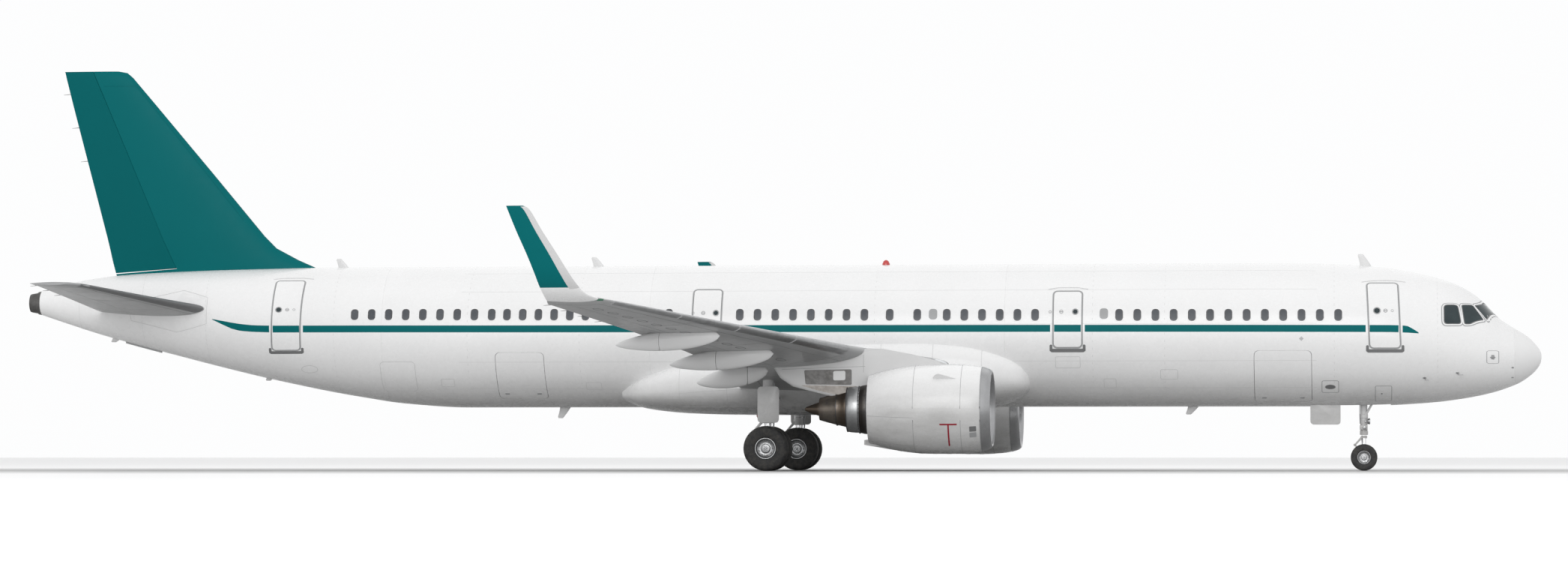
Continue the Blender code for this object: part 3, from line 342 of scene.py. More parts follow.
class AirlinerPaint(bpy.types.PropertyGroup):
    white: colour_of("White", "Gloss paint of the fuselage and cowls", (0.8, 0.8, 0.8))
    grey: colour_of("Grey", "Paint of the wings and tailplane", (0.375, 0.38, 0.385))
    teal: colour_of("Teal", "Paint of the fin, winglets and cheat line", (0.001, 0.124, 0.132))
    # Colour and height of the darkening under the belly: partly dirt, partly painted shade
    dirt_and_shade: colour_of("Grime", "Dirt that gathers underneath", (0.27, 0.265, 0.256))
    dirt_and_shade_top: length_of("Grime height", "Height up to which the underside is dulled", 1.4)


class AirlinerSizes(bpy.types.PropertyGroup):
    window_width: length_of("Window width", "Full-size width of a cabin window pane", 0.225, 0.1)
    window_height: length_of("Window height", "Full-size height of a cabin window pane", 0.346, 0.1)
    window_level: length_of("Window level", "Full-size height of the window centres", 4.495)
    stripe_low: length_of("Line foot", "Full-size height of the cheat line's lower edge", 3.986)
    stripe_high: length_of("Line top", "Full-size height of the cheat line's upper edge", 4.185)
    fan_blades: bpy.props.IntProperty(
        name="Fan blades", description="Number of wide-chord blades in each fan", default=18, min=8)


class AirlinerStudio(bpy.types.PropertyGroup):
    # Painted shadow: the floor's colour close under the aircraft, darker than its far colour
    floor: colour_of("Floor", "Colour of the floor close under the aircraft", (0.3, 0.3, 0.298))
    azimuth: bpy.props.FloatProperty(
        name="Azimuth", description="Camera's turn about the aircraft from square to its right side",
        subtype="ANGLE", default=radians(7))
    distance: length_of("Distance", "From the camera to the aircraft's middle", 70, 1)
    height: length_of("Height", "Camera height above the floor", 0.2)
    key_power: bpy.props.FloatProperty(
        name="Key light", description="Strength of the large soft light behind the camera", unit="POWER",
        default=20000, min=0)


class NodeBench:
    """Adds shader nodes to one material and links them as it goes."""

    def __init__(self, name):
        self.material = bpy.data.materials.new(name)
        self.material.use_nodes = True
        self.tree = self.material.node_tree
        self.shader = self.tree.nodes["Principled BSDF"]
        self.coords = self.tree.nodes.new("ShaderNodeTexCoord").outputs["Object"]

    def feed(self, socket, value):
        """Link an output to a socket, or set the socket to a number, vector or colour."""
        if isinstance(value, tuple):
            socket.default_value = (*value, 1) if socket.type == "RGBA" else value
        elif isinstance(value, (int, float)):
            socket.default_value = value
        else:
            self.tree.links.new(value, socket)

    def make(self, kind, output, inputs, **settings):
        """Add a node, feed its sockets and hand back one of its outputs."""
        node = self.tree.nodes.new("ShaderNode" + kind)
        for key, value in settings.items():
            setattr(node, key, value)
        for key, value in inputs.items():
            self.feed(node.inputs[key], value)
        return node.outputs[output]

    def noise(self, scale, detail=4, roughness=0.55, stretch=(1, 1, 1)):
        vector = self.coords
        if stretch != (1, 1, 1):
            vector = self.make("Mapping", "Vector", {"Vector": vector, "Scale": stretch})
        return self.make("TexNoise", "Fac", {"Vector": vector, "Scale": scale, "Detail": detail,
                                             "Roughness": roughness})

    def spread(self, value, low, high, to_low=0, to_high=1):
        return self.make("MapRange", "Result", {"Value": value, "From Min": low, "From Max": high,
                                                "To Min": to_low, "To Max": to_high})

    def math(self, operation, a, b=0):
        return self.make("Math", 0, {0: a, 1: b}, operation=operation)

    def axis(self, letter):
        return self.make("SeparateXYZ", letter, {0: self.coords})

    def mix(self, share, a, b):
        return self.make("Mix", 2, {0: share, 6: a, 7: b}, data_type="RGBA")

    def bump(self, height, strength, distance=0.001, normal=None):
        inputs = {"Strength": strength, "Distance": distance, "Height": height}
        if normal is not None:
            inputs["Normal"] = normal
        return self.make("Bump", "Normal", inputs)

    def close(self, colour, roughness, normal, metallic=0, coat=0, ior=1.5, specular=0.5):
        for value, names in ((colour, ("Base Color",)), (roughness, ("Roughness",)), (normal, ("Normal",)),
                             (metallic, ("Metallic",)), (ior, ("IOR",)),
                             (specular, ("Specular IOR Level", "Specular")),
                             (coat, ("Coat Weight", "Clearcoat")),
                             (0.08, ("Coat Roughness", "Clearcoat Roughness"))):
            self.feed(next(self.shader.inputs[n] for n in names if n in self.shader.inputs), value)
        return self.material


def scaled(colour, factor):
    return tuple(min(1, channel * factor) for channel in colour)


def gloss_paint(name, colour, dirt_and_shade=None, dirt_and_shade_top=1, gloss=(0.23, 0.32), coat=0.15, dirt_and_shade_share=0.64,
                specular=0.4):
    """Sprayed gloss paint: clouded colour, rain streaks, a belly darkened by dirt and painted shade, orange
    peel and panel waves.
    """
    bench = NodeBench(name)
    cloud = bench.spread(bench.noise(1.7, 5), 0.3, 0.7)
    base = bench.mix(cloud, scaled(colour, 0.985), scaled(colour, 1.01))
    streak = bench.spread(bench.noise(5, 5, 0.55, (1, 1, 0.16)), 0.58, 0.8, 0, 0.08)
    base = bench.mix(streak, base, scaled(colour, 0.86))
    if dirt_and_shade:
        # Painted shade mixed with dirt: below the given height the colour darkens towards the bottom, in
        # patches
        low = bench.spread(bench.axis("Z"), dirt_and_shade_top, dirt_and_shade_top - 0.6)
        patches = bench.spread(bench.noise(2.6, 6, 0.65, (0.35, 1, 1)), 0.3, 0.72, 0.45, 1)
        share = bench.math("MULTIPLY", bench.math("MULTIPLY", low, patches), dirt_and_shade_share)
        base = bench.mix(share, base, dirt_and_shade)
    rough = bench.spread(bench.noise(9, 6, 0.6), 0.25, 0.75, *gloss)
    peel = bench.bump(bench.noise(420, 2), 0.03, 0.0004)
    waves = bench.bump(bench.noise(2.2, 2, 0.5, (1, 0.6, 1)), 0.02, 0.003, peel)
    return bench.close(base, rough, waves, coat=coat, specular=specular)


def worn_metal(name, colour, tarnish, rough=(0.18, 0.38), grain=(1, 1, 1), scale=26, share=(0.45, 0.8)):
    """Bare metal with brushed grain, tarnish in patches and fine dents."""
    bench = NodeBench(name)
    patches = bench.spread(bench.noise(scale * 0.25, 6, 0.6, grain), *share)
    fine = bench.spread(bench.noise(scale * 3, 4, 0.6, grain), 0.3, 0.7, 0, 0.35)
    base = bench.mix(patches, colour, tarnish)
    base = bench.mix(fine, base, scaled(colour, 0.72))
    roughness = bench.spread(bench.noise(scale, 5, 0.6, grain), 0.25, 0.75, *rough)
    normal = bench.bump(bench.noise(scale * 9, 3, 0.5, grain), 0.08, 0.0005)
    return bench.close(base, roughness, normal, metallic=0.95)


def burnt_metal(name, cool, brown, blue, along=12):
    """Exhaust alloy with heat bands that run round it: straw, brown and blue."""
    bench = NodeBench(name)
    wobble = bench.math("MULTIPLY", bench.noise(7, 5, 0.6), 0.35)
    band = bench.math("ADD", bench.math("MULTIPLY", bench.axis("X"), along), wobble)
    wave = bench.math("SINE", band)
    base = bench.mix(bench.spread(wave, -0.6, 0.8), brown, cool)
    base = bench.mix(bench.spread(bench.noise(14, 6, 0.65), 0.5, 0.75, 0, 0.7), base, blue)
    roughness = bench.spread(bench.noise(30, 5), 0.25, 0.75, 0.28, 0.5)
    normal = bench.bump(bench.noise(190, 3), 0.1, 0.0006)
    return bench.close(base, roughness, normal, metallic=0.9)


def make_glass(name, colour, tint, rough=(0.04, 0.12), coat=0.6, specular=0.5):
    bench = NodeBench(name)
    # The panes are opaque: this mottle is painted, standing for reflections and what shows through the glass
    see_through_mottle = bench.spread(bench.noise(3, 4), 0.3, 0.7)
    dust = bench.spread(bench.noise(60, 5), 0.55, 0.8, 0, 0.25)
    base = bench.mix(dust, bench.mix(see_through_mottle, colour, tint), scaled(tint, 1.6))
    roughness = bench.spread(bench.noise(25, 4), 0.3, 0.7, *rough)
    return bench.close(base, roughness, bench.bump(bench.noise(12, 2), 0.03, 0.001), coat=coat,
                       ior=1.52, specular=specular)


def make_rubber():
    """Tyre rubber: grey dust in patches, scuffs round the tread and a fine pebble."""
    bench = NodeBench("tyre_black")
    dust = bench.spread(bench.noise(16, 6, 0.65), 0.42, 0.72)
    base = bench.mix(dust, (0.018, 0.018, 0.019), (0.07, 0.066, 0.06))
    scuff = bench.spread(bench.noise(70, 4, 0.6, (1, 0.15, 1)), 0.58, 0.75, 0, 0.5)
    base = bench.mix(scuff, base, (0.11, 0.105, 0.1))
    roughness = bench.spread(dust, 0, 1, 0.62, 0.88)
    return bench.close(base, roughness, bench.bump(bench.noise(260, 4), 0.25, 0.0006))


class AIRLINER_OT_finishes(bpy.types.Operator):
    """Make the paints, metals, glass and rubber of the airliner"""
    bl_idname = "airliner.finishes"
    bl_label = "Finishes"

    def execute(self, context):
        paint = context.scene.airliner_paint
        white, grey, teal = tuple(paint.white), tuple(paint.grey), tuple(paint.teal)
        dirt_and_shade = tuple(paint.dirt_and_shade)
        # White and radome paint darken towards the belly: dirt and painted shade
        gloss_paint("white_gloss", white, dirt_and_shade, paint.dirt_and_shade_top)
        gloss_paint("radome_white", scaled(white, 0.97), dirt_and_shade, paint.dirt_and_shade_top, (0.3, 0.45), 0.15)
        gloss_paint("wing_grey", grey, scaled(dirt_and_shade, 0.7), 4.5, (0.28, 0.42), 0.2, 0.3)
        gloss_paint("panel_grey", scaled(grey, 0.86), None, 0, (0.3, 0.45), 0.15)
        # Pale grey for joints, outlines and edges, and for the pylons, where it is partly painted shade
        gloss_paint("pale_grey_and_pylon_shade", scaled(white, 0.7), None, 0, (0.4, 0.55), 0)
        gloss_paint("edge_pale", scaled(white, 0.8), None, 0, (0.3, 0.45), 0.1)
        gloss_paint("joint_dark", scaled(grey, 0.42), None, 0, (0.45, 0.6), 0)
        gloss_paint("teal_gloss", teal, None, 0, (0.34, 0.46), 0, specular=0.06)
        # A darker copy of the teal: on the rudder it is painted shade, on the fin's joint lines their own
        # darker tone
        gloss_paint("teal_painted_shade_and_joints", scaled(teal, 0.88), None, 0, (0.36, 0.48), 0, specular=0.05)
        gloss_paint("mark_red", (0.28, 0.012, 0.025), None, 0, (0.3, 0.45), 0, specular=0.1)
        gloss_paint("gear_white", scaled(white, 0.85), (0.2, 0.18, 0.16), 0.9, (0.3, 0.5), 0.1, 0.8)
        worn_metal("chrome_lip", (0.42, 0.423, 0.43), (0.37, 0.373, 0.38), (0.26, 0.34), (0.4, 1, 1))
        worn_metal("bare_alloy", (0.43, 0.435, 0.44), (0.31, 0.31, 0.315), (0.28, 0.46))
        worn_metal("shield_dark", (0.15, 0.147, 0.144), (0.09, 0.086, 0.082), (0.4, 0.6))
        worn_metal("shield_brown", (0.24, 0.225, 0.21), (0.15, 0.13, 0.115), (0.35, 0.55))
        worn_metal("fan_titanium", (0.26, 0.27, 0.29), (0.15, 0.155, 0.17), (0.22, 0.4), (1, 3, 3))
        worn_metal("gear_chrome", (0.86, 0.86, 0.87), (0.6, 0.6, 0.6), (0.06, 0.16), (1, 1, 0.2))
        worn_metal("gear_dark", (0.12, 0.12, 0.125), (0.06, 0.055, 0.05), (0.35, 0.55))
        burnt_metal("hot_nozzle", (0.2, 0.175, 0.15), (0.1, 0.078, 0.06), (0.075, 0.078, 0.09))
        # Dark heat-banded metal, used also as painted shade in the fan duct's exit
        burnt_metal("soot_and_shade_dark", (0.1, 0.095, 0.09), (0.045, 0.04, 0.036), (0.03, 0.03, 0.035), 30)
        # The panes are opaque: their dark colour is painted shade for the dim cockpit and cabin behind the
        # glass
        make_glass("pane_dark", (0.016, 0.026, 0.03), (0.036, 0.052, 0.056), coat=0.05, specular=0.3)
        make_glass("window_pane", (0.07, 0.076, 0.085), (0.1, 0.107, 0.118), (0.2, 0.3), 0, 0.2)
        make_glass("lamp_glass", (0.7, 0.72, 0.74), (0.8, 0.82, 0.84))
        make_glass("lamp_red", (0.42, 0.02, 0.02), (0.55, 0.05, 0.04))
        make_glass("lamp_green", (0.01, 0.1, 0.05), (0.02, 0.16, 0.08), coat=0.2)
        make_rubber()
        return {"FINISHED"}


# Spacing of the fuselage frames: (up to this station, step)
FRAME_STEPS = ((0.06, 0.012), (0.9, 0.04), (3.2, 0.07), (8, 0.2), (31, 0.4), (LENGTH, 0.2))


def body_stations(start, end):
    """Stations of the fuselage frames, close together where the outline bends."""
    stations = [start]
    while stations[-1] < end:
        stations.append(stations[-1] + next(step for limit, step in FRAME_STEPS if stations[-1] < limit))
    return stations[:-2] + [end] if len(stations) > 3 else [start, end]


def section_rings(start, end):
    """Frames of one fuselage section, its ends turned in so that the joint shows as a fine groove."""
    rows = [(start, -JOINT_GROOVE)] if start else []
    rows += [(s, 0) for s in body_stations(start + JOINT_GROOVE if start else 0, end - JOINT_GROOVE)]
    rows.append((end, -JOINT_GROOVE))
    return [[skin(s, a, 1, lift) for a in circle_angles(BODY_SIDES, 0.5)] for s, lift in rows]


def rounded_box(width, height, radius, grow=0, step=0.09, corner=5):
    """Outline of a rounded rectangle about its centre; grow moves it outwards point for point."""
    w, h = width / 2 - radius, height / 2 - radius
    corners = ((w, h, 0), (-w, h, 90), (-w, -h, 180), (w, -h, 270))
    points = []
    for k, (x, y, start) in enumerate(corners):
        for n in range(corner + 1):
            a = radians(start + 90 * n / corner)
            points.append((x + (radius + grow) * cos(a), y + (radius + grow) * sin(a)))
        nx, ny, _ = corners[(k + 1) % 4]
        count = max(1, round(dist((x, y), (nx, ny)) / step))
        a = radians(start + 90)
        for n in range(1, count):
            t = n / count
            points.append((x + (nx - x) * t + (radius + grow) * cos(a),
                           y + (ny - y) * t + (radius + grow) * sin(a)))
    return points


def disc(radius, tall=None, count=28):
    tall = radius if tall is None else tall
    return [(radius * cos(a), tall * sin(a)) for a in circle_angles(count)]


def shifted(outline, dx, dy=0):
    return [(x + dx, y + dy) for x, y in outline]


def rounded_polygon(corners, radius, grow=0, per_edge=6, per_corner=4):
    """Outline of a polygon whose edges are moved out by grow and whose corners are rounded."""
    points = [Vector(c) for c in corners]
    count = len(points)
    area = sum(points[k].x * points[(k + 1) % count].y - points[(k + 1) % count].x * points[k].y
               for k in range(count))
    turn = 1 if area > 0 else -1
    moved = []
    for k in range(count):
        before, here, after = points[k - 1], points[k], points[(k + 1) % count]
        a, b = (here - before).normalized(), (after - here).normalized()
        na, nb = Vector((a.y, -a.x)) * turn, Vector((b.y, -b.x)) * turn
        moved.append(here + (na + nb) * (grow / (1 + na.dot(nb))))
    result = []
    for k in range(count):
        before, here, after = moved[k - 1], moved[k], moved[(k + 1) % count]
        back, on = before - here, after - here
        reach = min(radius + grow, back.length * 0.45, on.length * 0.45)
        start, end = here + back.normalized() * reach, here + on.normalized() * reach
        for n in range(per_corner + 1):
            t = n / per_corner
            result.append(tuple(start * (1 - t) ** 2 + here * 2 * t * (1 - t) + end * t * t))
        following = after - on.normalized() * min(radius + grow, on.length * 0.45)
        for n in range(1, per_edge):
            result.append(tuple(end.lerp(following, n / per_edge)))
    return result


ARC = 2.02              # radius that turns a distance round the skin into an angle
UPRIGHT = radians(62)


def on_skin(station, angle, ds, arc):
    """Station and angle of a point ds aft of another and arc above it, level lines kept level."""
    raised = angle + arc / ARC
    if abs(raised) > UPRIGHT or abs(angle) > UPRIGHT:
        return station + ds, raised
    return station + ds, skin_angle(station + ds, skin_height(station, raised))


def plate_on(bm, surface, outline, lift=FLUSH, depth=0.01, levels=2, bulge=0):
    """A thin closed plate that follows a surface(u, v, height), in rings about its outline's middle."""
    middle = sum((Vector(p) for p in outline), Vector((0, 0))) / len(outline)

    def ring(share, height):
        points = [middle.lerp(Vector(p), share) for p in outline]
        return [surface(p.x, p.y, height) for p in points]

    shares = [1 - k / (levels + 1) for k in range(levels + 1)]
    loft(bm, [ring(1, -depth)] + [ring(share, lift + bulge * (1 - share ** 2)) for share in shares])


def band_on(bm, surface, outer, inner, lift=FLUSH, depth=0.01):
    """A thin closed frame between two outlines that follows a surface."""
    loft(bm, [[surface(u, v, height) for u, v in outline] for outline, height in
              ((outer, -depth), (outer, lift), (inner, lift), (inner, -depth))], wrap=True)


def line_on(bm, surface, points, width, lift=0.0015, depth=0.008, pieces=6, closed=False):
    """A narrow strip along (u, v) points of a surface."""
    corners = [Vector(p) for p in points]
    if closed:
        corners.append(corners[0])
    path = [a.lerp(b, n / pieces) for a, b in zip(corners, corners[1:]) for n in range(pieces)]
    if not closed:
        path.append(corners[-1])
    spots = [surface(p.x, p.y, lift) for p in path]
    rings = []
    for k, (here, spot) in enumerate(zip(path, spots)):
        normal = (surface(here.x, here.y, lift + 0.02) - spot).normalized()
        ahead = spots[(k + 1) % len(spots)] if closed else spots[min(k + 1, len(spots) - 1)]
        behind = spots[k - 1] if closed or k else spots[0]
        across = normal.cross(ahead - behind).normalized() * width / 2 * SCALE
        down = normal * (lift + depth) * SCALE
        rings.append([spot - across, spot + across, spot + across - down, spot - across - down])
    loft(bm, rings, wrap=closed)


def skin_of(side):
    return lambda station, angle, lift: skin(station, angle, side, lift)


def plate(bm, station, angle, outline, side, lift=FLUSH, depth=0.01, levels=2, bulge=0):
    """A plate on the fuselage; outline is (aft, up) pairs about a station and angle."""
    plate_on(bm, skin_of(side), [on_skin(station, angle, *p) for p in outline], lift, depth, levels, bulge)


def band(bm, station, angle, outer, inner, side, lift=FLUSH, depth=0.01):
    """A frame on the fuselage between two outlines of (aft, up) pairs."""
    band_on(bm, skin_of(side), [on_skin(station, angle, *p) for p in outer],
            [on_skin(station, angle, *p) for p in inner], lift, depth)


def door_block(station, width, low, high, grow=0, head_grow=0, outer=0, depth=DOOR_DEPTH):
    """Rings up a hold door, its edges square to the skin."""
    top, bottom, _, middle = section(station)
    reach = (top - bottom) / 2
    start = asin(max(-0.97, (low - middle) / reach)) - grow / reach
    end = asin((high - middle) / reach) + head_grow / reach
    corner = DOOR_RADIUS / reach
    shares = (0, 0.05, 0.15, 0.3, 0.5, 0.75, 1)
    angles = [start + corner * share for share in shares]
    inner_end = end - corner
    angles += [angles[-1] + (inner_end - angles[-1]) * k / 14 for k in range(1, 14)]
    angles += [end - corner * share for share in reversed(shares)]
    rings = []
    for angle in angles:
        from_end = min(angle - start, end - angle) / corner
        inset = DOOR_RADIUS * (1 - sqrt(max(0, 1 - (1 - min(1, from_end)) ** 2)))
        half = width / 2 + grow - inset
        rings.append([skin(station + x, angle, -1, lift) for x, lift in
                      ((-half, -depth - grow), (-half, outer), (half, outer), (half, -depth - grow))])
    return rings


def door_angles(station, low, high):
    a, b = skin_angle(station, low), skin_angle(station, high)
    return (a + b) / 2, (b - a) * ARC


def fuselage_section(name, start, end):
    """One section's skin, with the hold doors' recesses and the nose gear's bay cut out of it."""
    bm = bmesh.new()
    loft(bm, section_rings(start, end))
    shell = tool_from(name + "_skin", bm)
    tools = []
    for label, home, station, width, low, high in HOLD_DOORS:
        if home == name:
            cutter = bmesh.new()
            loft(cutter, door_block(station, width, low, high, CLEAR, 0.004, 0.12))
            tools.append(tool_from(label + "_recess", cutter))
    if name == "forward_fuselage":
        front, aft, half, foot, roof = NOSE_BAY
        cutter = bmesh.new()
        add_box(cutter, (front, -half, foot), (aft, half, roof), 0)
        tools.append(tool_from("nose_bay_cut", cutter))
    if tools:
        combine(shell, "DIFFERENCE", *tools)
    dress(shell, "radome_white" if name == "radome" else "white_gloss", replaced=[name])


class AIRLINER_OT_fuselage(bpy.types.Operator):
    """Loft the radome, the three fuselage sections and the tail cone, with their open bays"""
    bl_idname = "airliner.fuselage"
    bl_label = "Fuselage sections"

    def execute(self, context):
        for row in SECTIONS:
            fuselage_section(*row)
        return {"FINISHED"}


def cabin_doors(side, word):
    gaps, outlines, plates, panes, rings = new_meshes(5)
    for label, s, width, low, high, port, port_radius, handle, sill, lean in PASSENGER_DOORS:
        angle, tall = door_angles(s, low, high)
        panel, edge, rim = ([(x + lean * y, y) for x, y in rounded_box(width, tall, 0.1, grow)]
                            for grow in (0, 0.012, 0.046))
        door = bmesh.new()
        plate(door, s, angle, panel, side, 0.006, 0.02, 14)
        add_piece(f"cabin_door_{label}_{word}", door, "white_gloss",
            replaced=[f"passenger_door_{label}_{word}"])
        band(gaps, s, angle, edge, panel, side, 0.0015)
        band(outlines, s, angle, rim, edge, side, 0.003)
        if sill:
            foot, end = -lean * tall / 2, width / 2 + 0.08
            for dx, dy, w, h in ((0, -0.1, width + 0.18, 0.1), (-end, -0.03, 0.08, 0.2),
                    (end, -0.03, 0.08, 0.2)):
                bar = shifted(rounded_box(w, h, 0.038, corner=4), foot + dx, dy - tall / 2)
                plate(plates, s, angle, bar, side, 0.006)
        level = skin_angle(s, 4.7 if label == "4" else 4.55)
        hole = shifted(disc(port_radius), port)
        band(rings, s, level, shifted(disc(port_radius + 0.03), port), hole, side, 0.011)
        plate(panes, s, level, hole, side, 0.008)
        for x, radius in ((handle, 0.058), (handle + (handle - port) * 0.8, 0.04)):
            band(rings, s, level, shifted(disc(radius), x), shifted(disc(radius * 0.7), x), side, 0.009)
        plate(rings, s, level, shifted(rounded_box(0.08, 0.022, 0.008), handle), side, 0.012, levels=1)
    add_pieces(f"_{word}", (
        ("cabin_door_gaps", gaps, "joint_dark"), ("cabin_door_outlines", outlines, "panel_grey"),
        ("cabin_door_sills", plates, "joint_dark"), ("cabin_door_portholes", panes, "pane_dark"),
        ("cabin_door_fittings", rings, "panel_grey")))


class AIRLINER_OT_passenger_doors(bpy.types.Operator):
    """Build the eight cabin doors with their outlines, sill plates, portholes and handles"""
    bl_idname = "airliner.passenger_doors"
    bl_label = "Passenger doors"

    def execute(self, context):
        for side, word in SIDES:
            cabin_doors(side, word)
        return {"FINISHED"}


def hold_door(name, s, width, low, high):
    bm = bmesh.new()
    loft(bm, door_block(s, width, low, high, depth=0.045))
    top, bottom, _, middle = section(s)
    reach = (top - bottom) / 2
    start, end = asin((low - middle) / reach) + 0.09, asin((high - middle) / reach) - 0.05
    half = width / 2 - 0.09
    for share in (0, 0.25, 0.5, 0.75, 1):
        angle = start + (end - start) * share
        loft(bm, [[skin(s + x, angle + turn, -1, lift) for turn,
            lift in ((-0.012, -0.04), (0.012, -0.04), (0.012, -0.11), (-0.012, -0.11))]
            for x in (-half, half)])
    for x in (-width / 2 + 0.1, -width / 6, width / 6, width / 2 - 0.1):
        loft(bm, [[skin(s + x + dx, start + (end - start) * k / 12, -1, lift) for dx, lift in
                   ((-0.02, -0.04), (0.02, -0.04), (0.02, -0.1), (-0.02, -0.1))] for k in range(13)])
    add_piece(f"{name}_panel", bm, "white_gloss", name, [name])
    latches = bmesh.new()
    for x in (-width / 3, width / 3):
        plate(latches, s + x, start + 0.03, rounded_box(0.13, 0.06, 0.02), -1)
    add_piece(f"{name}_latches", latches, "panel_grey", name)


class AIRLINER_OT_hold_doors(bpy.types.Operator):
    """Build the two hold doors with inner ribs and latches"""
    bl_idname = "airliner.hold_doors"
    bl_label = "Hold doors"

    def execute(self, context):
        for name, _, *measures in HOLD_DOORS:
            hold_door(name, *measures)
        return {"FINISHED"}


def cabin_windows(side, word, sizes):
    panes, surrounds, plugs, seals = new_meshes(4)
    rim, lip, hole, inner = (rounded_box(sizes.window_width, sizes.window_height, 0.095, grow, 1, 4)
                             for grow in (0.03, 0.012, 0, -0.026))
    for first, last, count in WINDOW_ROWS:
        for k in range(count):
            s = first + (last - first) * k / max(1, count - 1)
            angle = skin_angle(s, sizes.window_level + WINDOW_RISE * (s - WINDOW_MIDDLE))
            plate(panes, s, angle, hole, side, 0.002)
            band(seals, s, angle, hole, inner, side, 0.003)
            loft(surrounds, [[skin(*on_skin(s, angle, x, y), side, lift) for x, y in outline] for outline,
                lift in ((rim, -0.01), (rim, 0.002), (lip, 0.007), (hole, 0.005), (hole, -0.01))], wrap=True)
    for s in WINDOW_PLUGS:
        plate(plugs, s, skin_angle(s, sizes.window_level), rounded_box(0.24, 0.31, 0.09), side)
    add_pieces(f"_{word}", (
        ("cabin_window_panes", panes, "window_pane"), ("cabin_window_surrounds", surrounds, "white_gloss"),
        ("cabin_window_plugs", plugs, "panel_grey"), ("cabin_window_seals", seals, "gear_dark")))


class AIRLINER_OT_windows(bpy.types.Operator):
    """Set the rows of cabin windows, each with a raised surround and a dark pane"""
    bl_idname = "airliner.windows"
    bl_label = "Cabin windows"

    def execute(self, context):
        for side, word in SIDES:
            cabin_windows(side, word, context.scene.airliner_sizes)
        return {"FINISHED"}


# Cockpit panes as (station, height) corners, or (station, None) on the centre post
PANES = (
    ((2.795, 4.715), (2.795, 4.17), (2.307, 4.17), (2.405, 4.715)),
    ((2.293, 4.715), (1.976, 4.715), (1.668, 4.29), (2.06, 4.17), (2.214, 4.17)),
    ((1.915, 4.705), (1.8, 4.722), (1.7, 4.742), (1.6, None), (1.26, None), (1.575, 4.3)),
)
PANE_RADII = (0.11, 0.06, 0.05)
CENTRE_POST = radians(88.4)

# Cheat line: lower and upper edge by station, and the stretches that the door outlines leave
STRIPE_LOW = ((3.52, 3.9), (3.88, 3.925), (4.3, 3.938), (36.7, 4.038), (37.3, 4.055), (37.86, 4.1),
              (38.69, 4.43))
STRIPE_HIGH = ((3.52, 3.93), (3.88, 4.12), (4.3, 4.137), (36.7, 4.237), (37.3, 4.248), (37.7, 4.28),
               (38.69, 4.446))
STRIPE_MARGIN = 0.1
STRIPE_FOOT, STRIPE_TOP = 3.986, 4.185      # the heights that these tables are drawn for

# Access panels: (station, height, width, height of the panel, corner radius)
MARKED_PANELS = ((1.42, 3.23, 0.36, 0.66, 0.08), (6.02, 2.39, 0.49, 0.5, 0.06),
    (4.51, 2.17, 0.48, 0.85, 0.05))
SKIN_PANELS = (
    (13.49, 3.1, 0.72, 0.35, 0.04), (33.06, 2.7, 1.06, 1.1, 0.12),
    (10.6, 2.75, 0.5, 0.34, 0.05), (12.3, 2.5, 0.36, 0.36, 0.05), (27.3, 2.45, 0.46, 0.3, 0.05),
    (31.6, 2.55, 0.4, 0.3, 0.05),
)
FRAME_JOINTS = (2.98, 5.9, 10.72, 12.78, 19.05, 27.65, 30.95, 34.95, 38.9, 40.9, 42.9)
LAP_JOINTS = (62, 38, 8, -22, -48)
TAIL_APRON = ((39.61, 5.3), (38.85, 5.08), (38.87, 4.31), (39.83, 4.07), (41.24, 4.42), (41.35, 4.95))
DRIP_RAILS = ((4.5, 1.24, 5.42), (13.49, 1.14, 5.25), (36.3, 1.22, 5.64))
PROBES = ((2.42, 2.78, 0.14), (3.35, 2.64, 0.1))
BEACON = ((-0.02, 0.115), (0, 0.115), (0.05, 0.11), (0.06, 0.1), (0.1, 0.085), (0.14, 0.05), (0.155, 0.01))
# Aerials: (station, height of the foot, of the tip)
AERIALS = ((4.82, 5.85, 6.24), (27.2, 5.94, 6.26), (34.84, 5.93, 6.25), (9.78, 1.9, 1.62), (28.19, 1.9, 1.53),
           (36.96, 2.92, 2.65), (41.66, 4, 3.8))
FAIRING_STATIONS = (
    (14.45, 1.1, 2.35, 2.95), (14.7, 1.7, 2.15, 3.2), (15.1, 1.98, 1.98, 3.5), (15.7, 2.12, 1.83, 3.76),
    (16.6, 2.22, 1.68, 3.98), (17.8, 2.27, 1.62, 4.05), (19.6, 2.27, 1.62, 4.03), (21.5, 2.27, 1.62, 3.88),
    (23.4, 2.24, 1.63, 3.62), (24.8, 2.12, 1.68, 3.25),
    (25.85, 1.85, 1.8, 2.85), (26.5, 1.2, 2, 2.5),
)
FAIRING_SIDES = 96
FAIRING_FRAMES = 60
FAIRING_POWER = 2.7


def fairing_point(station, angle, lift=0):
    """A point of the belly fairing's rounded-square frames, at an angle about their middle."""
    half, bottom, top = (read_line([(row[0], row[column]) for row in FAIRING_STATIONS], station)
                         for column in (1, 2, 3))
    c, s = cos(angle), sin(angle)
    y = copysign(abs(c) ** (2 / FAIRING_POWER), c) * (half + lift)
    z = copysign(abs(s) ** (2 / FAIRING_POWER), s) * ((top - bottom) / 2 + lift)
    return place(station, y, (top + bottom) / 2 + z)


def fairing_side(side):
    return lambda station, angle, lift: fairing_point(station, angle if side > 0 else pi - angle, lift)


